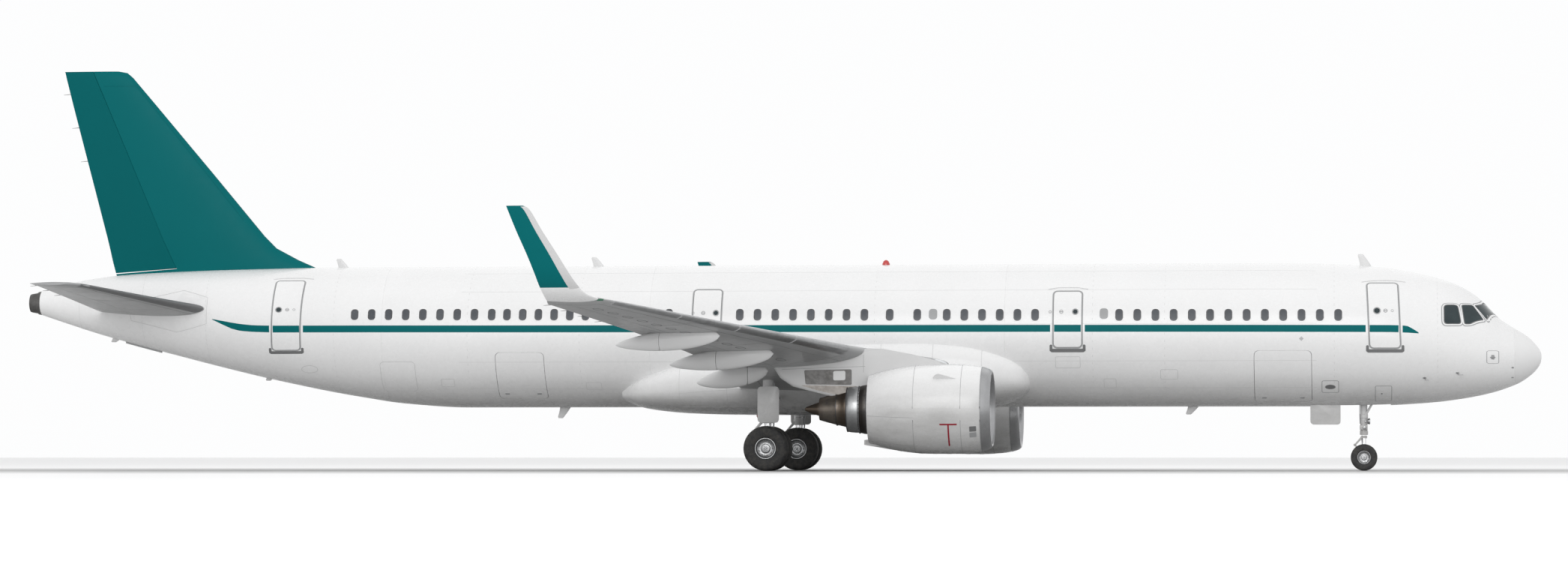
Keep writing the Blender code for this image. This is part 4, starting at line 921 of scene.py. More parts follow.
class AIRLINER_OT_cockpit(bpy.types.Operator):
    """Set the six cockpit panes in their frames"""
    bl_idname = "airliner.cockpit"
    bl_label = "Cockpit glazing"

    def execute(self, context):
        panes, frames, rims, seals = new_meshes(4)
        for side, _ in SIDES:
            surface = skin_of(side)
            for corners, radius in zip(PANES, PANE_RADII):
                flat = [(s, (CENTRE_POST if z is None else skin_angle(s, z)) * ARC) for s, z in corners]
                pane, inner, lip, frame_edge, rim = (
                    [(s, arc / ARC) for s, arc in rounded_polygon(flat, radius, grow)]
                    for grow in (0.006, -0.014, 0.012, 0.05, 0.076))
                plate_on(panes, surface, pane, 0.003, 0.02, 6)
                band_on(seals, surface, lip, inner, 0.008)
                band_on(frames, surface, frame_edge, lip, 0.006)
                band_on(rims, surface, rim, frame_edge, 0.003)
        add_piece("cockpit_panes", panes, "pane_dark", replaced=["cockpit_glazing"])
        add_pieces("", (("cockpit_pane_frames", frames, "white_gloss"),
            ("cockpit_pane_rims", rims, "panel_grey"), ("cockpit_pane_seals", seals, "joint_dark")))
        return {"FINISHED"}


def cheat_line(side, word, low_shift, high_shift):
    """The teal line of one side, broken at the door outlines and laid over the doors themselves."""
    first = STRIPE_LOW[0][0]
    stretches = []
    for row in PASSENGER_DOORS:
        s, half = row[1] - 0.28 * row[9], row[2] / 2
        stretches += [(first, s - half - STRIPE_MARGIN, 0.0025), (s - half + 0.012, s + half - 0.012, 0.009)]
        first = s + half + STRIPE_MARGIN
    stretches.append((first, STRIPE_LOW[-1][0], 0.0025))
    bm = bmesh.new()
    for start, end, lift in stretches:
        knots = [k for k, _ in STRIPE_LOW + STRIPE_HIGH if start < k < end]
        count = max(3, round((end - start) / 0.3))
        rings = []
        for s in sorted({round(s, 4) for s in knots + [start + (end - start) * k / count
                                                       for k in range(count + 1)]}):
            low, high = read_line(STRIPE_LOW, s) + low_shift, read_line(STRIPE_HIGH, s) + high_shift
            angles = [skin_angle(s, low + (high - low) * k / 4) for k in range(5)]
            rings.append([skin(s, a, side, lift) for a in angles]
                         + [skin(s, a, side, -0.006) for a in reversed(angles)])
        loft(bm, rings)
    add_piece(f"cheat_line_{word}", bm, "teal_gloss")


class AIRLINER_OT_cheat_line(bpy.types.Operator):
    """Lay the teal line along both sides, broken at the door outlines"""
    bl_idname = "airliner.cheat_line"
    bl_label = "Cheat line"

    def execute(self, context):
        sizes = context.scene.airliner_sizes
        for side, word in SIDES:
            cheat_line(side, word, sizes.stripe_low - STRIPE_FOOT, sizes.stripe_high - STRIPE_TOP)
        return {"FINISHED"}


def aerial_blade(bm, station, root, tip):
    """A swept blade with a rounded nose, on a small oval foot."""
    rings = []
    for k in range(9):
        t = k / 8
        swell = 1 + 0.35 * max(0, 1 - 5 * t) ** 2
        chord = (0.34 - 0.18 * t) * (1 if k < 8 else 0.8) * (1 + 0.2 * (swell - 1))
        start = station + 0.26 * t ** 1.15
        half = 0.0225 * (1 - 0.5 * t) * swell * (1 if k < 8 else 0.5)
        rings.append([place(start + chord * (1 - cos(a)) / 2, half * sin(a) * (1 + 0.45 * cos(a)),
                            root + (tip - root) * t) for a in circle_angles(28)])
    loft(bm, rings)


def probe(bm, side, s, z, reach):
    """A bent air-data probe on its oval foot."""
    a = skin_angle(s, z)
    root, out = skin(s, a, side, -0.01), skin(s - 0.02, a, side, 0.09)
    for low, high, r in ((root, out, 0.016), (out, out + Vector((reach * SCALE, 0, 0)), 0.011)):
        cone_between(bm, low, high, r, r * 0.8, 16)
    plate(bm, s, a, disc(0.05, 0.035), side, levels=1)


def skin_joints(bm, side):
    surface = skin_of(side)
    for s in FRAME_JOINTS:
        line_on(bm, surface, [(s, radians(a)) for a in (-89, -60, -30, 0, 30, 60, 89)],
                0.009, 0.001, 0.006, 5)
    for degrees in LAP_JOINTS:
        line_on(bm, surface, [(s, radians(degrees)) for s in (6.4, 15, 25.5, 31.2)], 0.007, 0.001, 0.006, 24)


def drip_rail(bm, side, s, width, z):
    a = skin_angle(s, z)
    line_on(bm, skin_of(side), [on_skin(s, a, x * width, y) for x, y in
                                ((-0.5, -0.06), (-0.25, 0), (0.25, 0), (0.5, -0.06))], 0.013, 0.014, 0, 6)


class AIRLINER_OT_fittings(bpy.types.Operator):
    """Add the fuselage's aerials, probes, access panels, joints, drip rails and lamps"""
    bl_idname = "airliner.fittings"
    bl_label = "Fuselage fittings"

    def execute(self, context):
        blades, joints, outlines, metal, dark, rails, aprons, tail_rail, marked, lamps = new_meshes(10)
        for row in AERIALS:
            aerial_blade(blades, *row)
        for side, _ in SIDES:
            surface = skin_of(side)
            skin_joints(joints, side)
            for bm, rows, thick in ((outlines, SKIN_PANELS, 0.014), (marked, MARKED_PANELS, 0.018)):
                for s, z, w, h, r in rows:
                    band(bm, s, skin_angle(s, z), rounded_box(w, h, r), rounded_box(w, h, r, -thick), side,
                        0.002)
            plate(dark, 6.02, skin_angle(6.02, 2.39), disc(0.15, 0.09, 32), side, 0.002)
            band(outlines, 35.77, skin_angle(35.77, 2.96), disc(0.26, 0.17, 40), disc(0.24, 0.15, 40), side,
                0.002)
            diamond = [(0.065, 0), (0, 0.065), (-0.065, 0), (0, -0.065)]
            plate(metal, 6.83, skin_angle(6.83, 3.76), diamond, side, 0.003, levels=1)
            plate(dark, 4.56, skin_angle(4.56, 2.2), disc(0.025, count=16), side, levels=1)
            for row in DRIP_RAILS:
                drip_rail(rails, side, *row)
            for row in PROBES:
                probe(metal, side, *row)
            a = skin_angle(1.42, 3.23)
            plate(metal, 1.42, a, rounded_box(0.09, 0.22, 0.02), side, levels=1)
            plate(metal, 1.42, a, disc(0.075, 0.045), side, 0.02, 0, levels=1, bulge=0.01)
            for z in (2.66, 2.94):
                plate(metal, 0.85, skin_angle(0.85, z), disc(0.035, 0.05, 16), side, levels=1)
            apron = [(s, skin_angle(s, z)) for s, z in TAIL_APRON]
            line_on(outlines, surface, apron, 0.014, 0.003, 0.008, 6, closed=True)
            plate_on(aprons, surface, apron, 0.0015, 0.008, 5)
            line_on(tail_rail, surface, [(s, radians(-87)) for s in (40.53, 41.6)], 0.07, 0.045, 0.03, 12)
        for s, z, sign in ((18.9, 5.985, 1), (22.6, 1.625, -1)):
            add_turned(lamps, BEACON, (s, 0, z), (0, 0, sign), 32)
            bmesh.ops.holes_fill(lamps, edges=[e for e in lamps.edges if e.is_boundary], sides=0)
        add_pieces("", (
            ("aerial_blades", blades, "edge_pale"), ("skin_joints", joints, "pale_grey_and_pylon_shade"),
            ("skin_panel_outlines", outlines, "pale_grey_and_pylon_shade"), ("marked_panel_outlines", marked, "panel_grey"),
            ("door_drip_rails", rails, "edge_pale"), ("tailplane_aprons", aprons, "radome_white"),
            ("tail_rails", tail_rail, "panel_grey"), ("probes_and_rails", metal, "bare_alloy"),
            ("skin_ports", dark, "joint_dark"), ("beacon_lamps", lamps, "lamp_red")))
        return {"FINISHED"}


def fairing_details(lines, dark, side):
    """Joints, wheel-well doors, air inlet and outlet on one side of the belly fairing."""
    surface = fairing_side(side)
    for s in (15.95, 17.35, 18.85, 20.6, 23.3, 24.7):
        line_on(lines, surface, [(s, radians(a)) for a in (-89.5, -70, -50, -30, -10, 10, 40)],
                0.012, 0.002, 0.01)
    for a in (-78, -46, -12):
        line_on(lines, surface, [(s, radians(a)) for s in (15.95, 18.85, 20.6, 24.7)], 0.012, 0.002, 0.01, 10)
    for start, end, low, high in ((20.75, 22.95, -89.2, -66), (16.2, 17.1, -74, -58)):
        a, b = radians(low), radians(high)
        line_on(lines, surface, [(start, a), (end, a), (end, b), (start, b)], 0.022, 0.003, 0.01, 8,
            closed=True)
    for corners in (((15.75, -0.62), (16.35, -0.5), (16.35, -0.78)),
                    ((17.75, -0.75), (18.25, -0.75), (18.25, -0.95), (17.75, -0.95))):
        plate_on(dark, surface, rounded_polygon(corners, 0.04))


class AIRLINER_OT_fairing(bpy.types.Operator):
    """Loft the belly fairing and draw its panels, wheel-well doors and air inlets"""
    bl_idname = "airliner.fairing"
    bl_label = "Belly fairing"

    def execute(self, context):
        first, last = FAIRING_STATIONS[0][0], FAIRING_STATIONS[-1][0]
        bm, lines, dark = new_meshes(3)
        loft(bm, [[fairing_point(first + (last - first) * k / FAIRING_FRAMES, a)
                   for a in circle_angles(FAIRING_SIDES, 0.5)] for k in range(FAIRING_FRAMES + 1)])
        add_piece("belly_fairing_shell", bm, "white_gloss", replaced=["belly_fairing"])
        for side, _ in SIDES:
            fairing_details(lines, dark, side)
        add_pieces("", (("belly_fairing_joints", lines, "pale_grey_and_pylon_shade"),
            ("belly_fairing_vents", dark, "joint_dark")))
        return {"FINISHED"}


# Wing ribs: (y, station of the leading edge, of the trailing edge, height of each, thickness)
WING_RIBS = (
    (1.2, 16.26, 22.9, 2.88, 2.28, 0.14), (2.6, 17.05, 22.9, 3.01, 2.42, 0.135),
    (4.4, 18.07, 22.94, 3.19, 2.7, 0.126), (6.4, 19.2, 23, 3.4, 2.97, 0.118),
    (8.3, 20.27, 23.65, 3.61, 3.31, 0.114), (11.2, 21.9, 24.65, 3.92, 3.77, 0.11),
    (14, 23.49, 25.61, 4.24, 4.15, 0.106), (15.8, 24.515, 26.21, 4.443, 4.385, 0.102),
    (16.3, 24.8, 26.15, 4.5, 4.45, 0.1),
)
# Winglet ribs: (y, leading edge, chord, height, cant in degrees, thickness)
WINGLET_RIBS = (
    (16.3, 24.8, 1.35, 4.5, 0, 0.1), (16.72, 25.03, 1.14, 4.6, 22, 0.1),
    (17.08, 25.22, 1, 4.82, 42, 0.1), (17.33, 25.42, 0.89, 5.15, 60, 0.1),
    (17.5, 25.68, 0.79, 5.6, 71, 0.1), (17.7, 26.04, 0.67, 6.2, 74, 0.1),
    (17.86, 26.33, 0.57, 6.72, 75, 0.1), (17.9, 26.5, 0.44, 6.84, 75, 0.08),
)
TAILPLANE_RIBS = (
    (0.4, 38.48, 42.15, 4.66, 4.66, 0.11), (1, 38.8, 42.22, 4.72, 4.72, 0.11),
    (3.2, 39.98, 42.42, 4.98, 4.98, 0.1), (5.7, 41.2, 42.68, 5.27, 5.27, 0.095),
    (6.1, 41.5, 42.76, 5.315, 5.315, 0.09), (6.22, 41.78, 42.8, 5.33, 5.33, 0.08),
)
# Fin ribs: (height, leading edge, trailing edge, thickness)
FIN_RIBS = (
    (5.5, 35.01, 41.83, 0.075), (6, 35.89, 41.97, 0.085), (6.22, 36.39, 42.03, 0.09),
    (6.57, 37.05, 42.11, 0.098), (6.93, 37.41, 42.2, 0.105), (8.75, 38.94, 42.69, 0.105),
    (10.83, 40.71, 43.25, 0.1), (11.68, 41.44, 43.47, 0.1), (11.82, 41.61, 43.5, 0.085),
    (11.87, 41.87, 43.52, 0.06),
)
RIB_POINTS = 28
TRAILING_HALF = 0.006
END_CLEAR = 0.03
FLAPS = (
    ("flap_inboard", ((22.2, 2.4), (22.2, 6.25)), ((22.2, 2.4, 2.03), (22.2, 5.9, 2.47)), (0,)),
    ("flap_outboard", ((22.17, 6.95), (24.36, 12.4)), ((22.71, 8.3, 2.83), (23.88, 11.2, 3.3)), (1, 2)),
)
FLAP_REACH = 3
# Flap-track fairings: (y, front station, aft station, front height, aft height, radius)
TRACK_FAIRINGS = (
    (5.9, 21.65, 23.66, 2.8, 2.47, 0.31), (8.3, 21.2, 24.09, 3.23, 2.93, 0.3),
    (11.2, 22.3, 25.14, 3.65, 3.41, 0.28),
)
AILERON_HINGE = ((24.56, 12.75, 4.01), (25.74, 15.7, 4.385))
ELEVATOR_HINGE = ((41.15, 1.35, 4.78), (42.32, 6, 5.31))
RUDDER_HINGE = ((40.18, 0, 5.96), (42.92, 0, 12.02))
CONTROL_NOSE = {"aileron": 0.13, "elevator": 0.13, "rudder": 0.2}
CONTROL_REACH = 4
SLATS = ((2.75, 4.95), (6.55, 8.7), (8.76, 10.95), (11.01, 13.2), (13.26, 15.7))
SPOILERS = ((4.3, 6.1), (7.1, 8.35), (8.4, 9.65), (9.7, 10.95), (11, 12.25))
WINGLET_PAINT_FOOT = 4.76
BACK, UP, SIDEWAYS = Vector((-1, 0, 0)), Vector((0, 0, 1)), Vector((0, 1, 0))
RUDDER_AFT = Vector((-1, 0, -0.075))


def real(station, y, z):
    """A point of the full-size aircraft, not yet brought to scale."""
    return Vector((NOSE_X - station, y, z))


def half_thickness(x, thickness, chord):
    x = max(0, min(1, x))
    shape = 0.2969 * sqrt(x) - 0.126 * x - 0.3516 * x * x + 0.2843 * x ** 3 - 0.1036 * x ** 4
    return 5 * thickness * shape * chord + x * TRAILING_HALF


def rib(leading, trailing, up, thickness):
    """One closed aerofoil from its trailing edge over the top to the nose and back underneath."""
    chord = trailing - leading
    over, under = [], []
    for k in range(RIB_POINTS + 1):
        x = (1 - cos(pi * k / RIB_POINTS)) / 2
        half = half_thickness(x, thickness, chord.length)
        middle = leading + chord * x
        over.append((middle + up * half) * SCALE)
        if k > 0:
            under.append((middle - up * half) * SCALE)
    return over[::-1] + under


def table_at(table, position):
    """A row of a rib table at a position along its first column, on straight lines."""
    for low, high in zip(table, table[1:]):
        if position <= high[0] or high is table[-1]:
            t = (position - low[0]) / (high[0] - low[0])
            return tuple(a + (b - a) * t for a, b in zip(low, high))


def spaced(table, step):
    positions = [table[0][0]]
    for low, high in zip(table, table[1:]):
        count = max(1, round((high[0] - low[0]) / step))
        positions += [low[0] + (high[0] - low[0]) * k / count for k in range(1, count + 1)]
    return positions


def aerofoil(table, side, step):
    """The lofted shape of a wing or tailplane."""
    rings = []
    for y in spaced(table, step):
        _, leading, trailing, z_leading, z_trailing, thickness = table_at(table, y)
        rings.append(rib(real(leading, side * y, z_leading), real(trailing, side * y, z_trailing), UP,
            thickness))
    bm = bmesh.new()
    loft(bm, rings)
    return bm


def wing_surface(side, face, table):
    """surface(y, share of the chord, lift) on the upper (1) or lower (-1) face of a wing or tailplane."""
    def surface(y, x, lift):
        _, leading, trailing, z_leading, z_trailing, thickness = table_at(table, y)
        front, back = real(leading, side * y, z_leading), real(trailing, side * y, z_trailing)
        half = half_thickness(x, thickness, (back - front).length)
        return (front.lerp(back, x) + Vector((0, 0, face * (half + lift)))) * SCALE
    return surface


def wing_chord(y):
    _, leading, trailing, *_ = table_at(WING_RIBS, y)
    return trailing - leading


def chord_share(y, station):
    return (station - table_at(WING_RIBS, y)[1]) / wing_chord(y)


def fin_surface(side):
    def surface(z, x, lift):
        _, leading, trailing, thickness = table_at(FIN_RIBS, z)
        half = half_thickness(x, thickness, trailing - leading)
        return place(leading + (trailing - leading) * x, side * (half + lift), z)
    return surface


def edge_shell(bm, over, under, start, end, up_share, down_share, lift=0.004, depth=0.01, step=0.4):
    """A thin shell wrapped round a leading edge between two positions along the span."""
    shares = [(n / 9) ** 2 for n in range(10)]
    count = max(2, round((end - start) / step))
    rings = []
    for k in range(count + 1):
        y = start + (end - start) * k / count
        outer = [over(y, up_share * x, lift) for x in shares[:0:-1]]
        nose = over(y, 0, lift) + Vector((lift * SCALE, 0, 0))
        outer += [nose] + [under(y, down_share * x, lift) for x in shares[1:]]
        inner = [under(y, down_share * x, -depth) for x in shares[:1:-1]]
        inner.append((over(y, 0.012, 0) + under(y, 0.012, 0)) / 2)
        rings.append(outer + inner + [over(y, up_share * x, -depth) for x in shares[2:]])
    loft(bm, rings)


def track_rings(side, y, front, aft, z_front, z_aft, radius):
    rings = []
    for k in range(37):
        t = k / 36
        girth = radius * max(0.03, sin(pi * t ** 0.8) ** 0.6)
        s, z = front + (aft - front) * t, z_front + (z_aft - z_front) * t
        rings.append([place(s, side * y + 0.6 * girth * cos(a), z + girth * sin(a))
                      for a in circle_angles(28, 0.5)])
    return rings


def flap_bay(side, front, along_gap=0, front_gap=0):
    """A prism in plan whose ends are square to the hinge line, as a cutter."""
    start, end = Vector(front[0]), Vector(front[1])
    along = (end - start).normalized()
    aft = Vector((along.y, -along.x))
    start += along * along_gap + aft * front_gap
    end += -along * along_gap + aft * front_gap
    plan = (start, end, end + aft * FLAP_REACH, start + aft * FLAP_REACH)
    bm = bmesh.new()
    loft(bm, [[place(p.x, side * p.y, z) for p in plan] for z in (1.2, 5.2)])
    return tool_from("flap_bay", bm)


def swing_wedge(side, hinge):
    """What a fairing's tail loses below its flap's hinge line, so that it swings clear of the front."""
    start, end = (real(s, side * y, z) for s, y, z in hinge)
    along = (end - start).normalized()
    aft = (BACK - along * BACK.dot(along)).normalized()
    up = (UP - along * UP.dot(along) - aft * UP.dot(aft)).normalized()
    corners = ((-0.1, 0), (CLEAR, 0), (CLEAR + 0.34, -0.4), (-0.1, -0.4))
    bm = bmesh.new()
    loft(bm, [[(point + aft * a + up * b) * SCALE for a, b in corners]
              for point in (start - along * 3, end + along * 3)])
    return tool_from("swing_wedge", bm)


def control_tool(hinge, side, radius, aft, across, end_gap=0):
    """A round-nosed block about a hinge line: what is aft of it swings, with a constant gap."""
    start, end = (real(s, side * y, z) for s, y, z in hinge)
    axis = (end - start).normalized()
    start += axis * end_gap
    end -= axis * end_gap
    lean = sqrt(1 - axis.dot(aft.normalized()) ** 2)
    profile = [aft * CONTROL_REACH - across * radius]
    for k in range(15):
        angle = radians(-90 - 180 * k / 14)
        profile.append(aft * (radius * cos(angle) / lean) + across * (radius * sin(angle)))
    profile.append(aft * CONTROL_REACH + across * radius)
    bm = bmesh.new()
    loft(bm, [[(end_point + p) * SCALE for p in profile] for end_point in (start, end)])
    return tool_from("control_nose", bm)


def split_control(shell, body, side, hinge, aft, across, finish):
    """Part a control surface from an aerofoil and open its cove in the rest."""
    radius = CONTROL_NOSE[body.split("_")[0]]
    surface = copy_piece(shell, f"{body}_surface")
    combine(surface, "INTERSECT", control_tool(hinge, side, radius, aft, across, END_CLEAR))
    combine(shell, "DIFFERENCE", control_tool(hinge, side, radius + CLEAR, aft, across))
    dress(surface, finish, body, [body])


def wick(bm, start):
    """A static wick: a short thin rod standing aft from a trailing edge."""
    cone_between(bm, start, start + Vector((-0.22 * SCALE, 0, -0.02 * SCALE)), 0.009, 0.004, 8)


def split_flap(wing, tracks, side, word, name, front, hinge, own):
    """Part one flap from the wing, with the tails of its own track fairings."""
    body = f"{name}_{word}"
    flap = copy_piece(wing, body + "_panel")
    combine(flap, "INTERSECT", flap_bay(side, front, END_CLEAR, CLEAR))
    dress(flap, "wing_grey", body, [body])
    combine(wing, "DIFFERENCE", flap_bay(side, front))
    for index in own:
        tail = copy_piece(tracks[index], f"track_fairing_tail_{index + 1}_{word}")
        combine(tail, "INTERSECT", flap_bay(side, front, END_CLEAR, CLEAR))
        combine(tail, "DIFFERENCE", swing_wedge(side, hinge))
        dress(tail, "edge_pale", body)
        combine(tracks[index], "DIFFERENCE", flap_bay(side, front))
        dress(tracks[index], "edge_pale")


def outboard_front(y):
    """Station of the outboard flap's front line."""
    return 22.17 + (y - 6.95) * 2.19 / 5.45


def wing_trim(side, word):
    """Slats, spoilers, access panels, lamps and static wicks of one wing."""
    over, under = (wing_surface(side, face, WING_RIBS) for face in (1, -1))
    slats, plates, lines, wicks, lamp = new_meshes(5)
    for start, end in SLATS:
        edge_shell(slats, over, under, start, end, 0.54 / wing_chord(start), 0.06)
    for start, end in SPOILERS:
        (a, b), (c, d) = ([chord_share(y, (22.2 if y < 6.3 else outboard_front(y)) - gap)
            for gap in (0.75, 0.03)] for y in (start, end))
        plate_on(plates, over, rounded_polygon([(start, a), (end, c), (end, d), (start, b)], 0.01), 0.006,
            0.01, 4)
    for k in range(14):
        y = 7 + k * 0.63
        hatch, inner = ([(y + along * cos(a), 0.44 + across * sin(a) / wing_chord(y))
                         for a in circle_angles(32)] for along, across in ((0.17, 0.11), (0.15, 0.09)))
        band_on(lines, under, hatch, inner, 0.003, 0.006)
    for share in (0.16, 0.62):
        for surface in (over, under):
            line_on(lines, surface, [(y, share) for y in (2.6, 6.4, 11.2, 15.9)], 0.012, 0.0015, 0.006, 14)
    for y in (4.4, 6.5, 9.3, 12.55, 15.85):
        front = 22.15 if y < 6.6 else outboard_front(y)
        aft = 0.98 if y > 12.45 else min(0.98, chord_share(y, front))
        for surface in (over, under):
            line_on(lines, surface, [(y, 0.1), (y, 0.4), (y, aft)], 0.01, 0.0015, 0.006, 8)
    for y in (12.9, 13.8, 14.7, 15.6):
        wick(wicks, over(y, 0.995, 0))
    edge_shell(lamp, over, under, 2.32, 2.66, 0.035, 0.03, 0.006, 0.01, 0.08)
    add_pieces(f"_{word}", (("slats", slats, "bare_alloy"), ("spoilers", plates, "panel_grey"),
                            ("wing_joints", lines, "joint_dark")))
    add_piece(f"aileron_wicks_{word}", wicks, "gear_dark", f"aileron_{word}")
    add_piece(f"landing_lamp_{word}", lamp, "lamp_glass")


class AIRLINER_OT_wings(bpy.types.Operator):
    """Loft the wings and part their flaps and ailerons, with track fairings, slats and spoilers"""
    bl_idname = "airliner.wings"
    bl_label = "Wings"

    def execute(self, context):
        for side, word in SIDES:
            wing = tool_from(f"wing_{word}_skin", aerofoil(WING_RIBS, side, 0.55))
            tracks = []
            for number, row in enumerate(TRACK_FAIRINGS, 1):
                track = bmesh.new()
                loft(track, track_rings(side, *row))
                tracks.append(tool_from(f"track_fairing_{number}_{word}", track))
            for row in FLAPS:
                split_flap(wing, tracks, side, word, *row)
            split_control(wing, f"aileron_{word}", side, AILERON_HINGE, BACK, UP, "wing_grey")
            dress(wing, "wing_grey", replaced=[f"wing_{word}"])
            wing_trim(side, word)
        return {"FINISHED"}


def edge_ring(start, chord, up, thickness):
    """A thin wrap round the leading edge."""
    shares = [0.24, 0.17, 0.11, 0.06, 0.02, 0]
    outer, inner = [], []
    for way, row in ((1, shares), (-1, shares[-2::-1])):
        for x in row:
            half = half_thickness(x, thickness, chord)
            outer.append((start + (up * way * (half + 0.004) - Vector((chord * x, 0, 0)) if x
                                   else Vector((0.006, 0, 0)))) * SCALE)
            inner.append((start + Vector((-chord * max(x, 0.02), 0, 0)) + up * way * half * 0.5) * SCALE)
    return outer + inner[::-1]


def winglet(side, word):
    rings, edge_rings = [], []
    for y, leading, chord, z, cant, thickness in smooth_rows(WINGLET_RIBS, 5):
        angle = radians(cant)
        up = Vector((0, -side * sin(angle), cos(angle)))
        start = real(leading, side * y, z)
        drop = -0.05 * max(0, 1 - (y - 16.3) / 0.4)
        rings.append(rib(start, start + Vector((-chord, 0, drop)), up, thickness))
        if WINGLET_PAINT_FOOT - 0.02 < z < 6.83:
            edge_rings.append(edge_ring(start, chord, up, thickness))
    for part, finish, keep_low in (("foot", "white_gloss", True), ("blade", "teal_gloss", False)):
        bm = bmesh.new()
        loft(bm, rings)
        cut = bmesh.ops.bisect_plane(
            bm, geom=bm.verts[:] + bm.edges[:] + bm.faces[:], plane_co=(0, 0, WINGLET_PAINT_FOOT * SCALE),
            plane_no=(0, 0, 1), clear_outer=keep_low, clear_inner=not keep_low)["geom_cut"]
        bmesh.ops.holes_fill(bm, edges=[e for e in cut if isinstance(e, bmesh.types.BMEdge)], sides=0)
        add_piece(f"winglet_{part}_{word}", bm, finish, replaced=[f"winglet_{word}"])
    edge, lamp = new_meshes(2)
    loft(edge, edge_rings)
    _, leading, _, z, *_ = table_at(WING_RIBS, 16.1)
    add_rod(lamp, (leading + 0.02, side * 16.1, z), (leading + 0.14, side * 16.28, z), 0.03, 20, 0.01, 0.035)
    add_pieces(f"_{word}", (("winglet_edge", edge, "pale_grey_and_pylon_shade"),
                            ("position_lamp", lamp, "lamp_red" if side > 0 else "lamp_green")))


class AIRLINER_OT_winglets(bpy.types.Operator):
    """Loft the winglets, white at the foot and teal above, with a pale leading edge"""
    bl_idname = "airliner.winglets"
    bl_label = "Winglets"

    def execute(self, context):
        for side, word in SIDES:
            winglet(side, word)
        return {"FINISHED"}


def fin_and_rudder():
    bm = bmesh.new()
    rows = [table_at(FIN_RIBS, z) for z in spaced(FIN_RIBS, 0.3)]
    loft(bm, [rib(real(leading, 0, z), real(trailing, 0, z), SIDEWAYS, thickness)
              for z, leading, trailing, thickness in rows])
    fin = tool_from("fin_skin", bm)
    seal = copy_piece(fin, "rudder_foot_seal")
    low, high = (Vector(p) for p in RUDDER_HINGE)
    slab = [tuple(low.lerp(high, t)) for t in (-0.0035, -0.0002)]
    combine(seal, "INTERSECT", control_tool(slab, 1, CONTROL_NOSE["rudder"], RUDDER_AFT, SIDEWAYS))
    # The rudder and its foot seal take the darker teal, as painted shade
    dress(seal, "teal_painted_shade_and_joints")
    split_control(fin, "rudder", 1, RUDDER_HINGE, RUDDER_AFT, SIDEWAYS, "teal_painted_shade_and_joints")
    dress(fin, "teal_gloss", replaced=["fin"])


def tailplane(side, word):
    plane = tool_from(f"tailplane_{word}_skin", aerofoil(TAILPLANE_RIBS, side, 0.3))
    split_control(plane, f"elevator_{word}", side, ELEVATOR_HINGE, BACK, UP, "wing_grey")
    dress(plane, "wing_grey", replaced=[f"tailplane_{word}"])
    over, under = (wing_surface(side, face, TAILPLANE_RIBS) for face in (1, -1))
    seams, edge, wicks = new_meshes(3)
    for face in (over, under):
        for y in (2.1, 3.6, 5.1):
            line_on(seams, face, [(y, 0.13), (y, 0.4), (y, 0.6)], 0.01, 0.0015, 0.006, 6)
        line_on(seams, face, [(y, 0.13) for y in (1.2, 3.2, 5.9)], 0.012, 0.002, 0.006, 10)
    edge_shell(edge, over, under, 1.3, 5.95, 0.075, 0.075, 0.004, 0.006, 0.3)
    for y in (4, 4.9, 5.8):
        wick(wicks, over(y, 0.99, 0))
    add_pieces(f"_{word}", (("tailplane_joints", seams, "joint_dark"),
        ("tailplane_edge", edge, "joint_dark")))
    add_piece(f"elevator_wicks_{word}", wicks, "gear_dark", f"elevator_{word}")


def exhaust_pipe():
    """The small turbine's exhaust pipe in the end of the tail cone."""
    reach = LENGTH - CONE_END
    _, _, half, middle = section(CONE_END)
    bm = bmesh.new()
    add_turned(bm, [(0, 0.03), (0, half), (0.1, half - 0.02), (0.11, half - 0.045), (reach - 0.03, 0.275),
                    (reach, 0.262), (reach, 0.235), (reach - 0.25, 0.215), (reach - 0.25, 0.03)],
               (CONE_END, 0, middle), (-1, 0, 0), 72, wrap=True)
    add_piece("tail_exhaust_pipe", bm, "shield_dark", replaced=["apu_exhaust"])


class AIRLINER_OT_tail(bpy.types.Operator):
    """Loft the fin, rudder, tailplanes and elevators, and the exhaust of the tail cone"""
    bl_idname = "airliner.tail"
    bl_label = "Tail"

    def execute(self, context):
        fin_and_rudder()
        lines, wicks = new_meshes(2)
        for side, word in SIDES:
            surface = fin_surface(side)
            line_on(lines, surface, [(11.42, x) for x in (0.02, 0.3, 0.5)], 0.012, 0.002, 0.006, 8)
            line_on(lines, surface, [(z, 0.05) for z in (7.4, 9, 11.4)], 0.012, 0.002, 0.006, 10)
            tailplane(side, word)
        for z in (9.2, 10.2, 11.2):
            wick(wicks, place(table_at(FIN_RIBS, z)[2] - 0.01, 0, z))
        add_piece("fin_joints", lines, "teal_painted_shade_and_joints")
        add_piece("rudder_wicks", wicks, "gear_dark", "rudder")
        exhaust_pipe()
        return {"FINISHED"}


# Engines: outlines are (station, radius) about the engine's axis
ENGINE_Y = 5.75
ENGINE_Z = 1.73
LIP_JOINT = 15.62
LIP_OUTLINE = (
    (15.619, 1.175), (15.47, 1.13), (15.385, 1.08), (15.35, 1.03), (15.375, 0.975), (15.45, 0.93),
    (15.619, 0.895),
)
COWL_OUTER = (
    (15.62, 1.175), (15.95, 1.222), (16.5, 1.25), (17.2, 1.245), (17.8, 1.19), (18.3, 1.09), (18.8, 0.95),
)
COWL_INNER = ((15.62, 0.895), (16.45, 0.89), (16.9, 0.98), (17.5, 1.03), (18.2, 1), (18.8, 0.935))
FAN_STATION = 16.3
FAN_RADIUS = 0.866
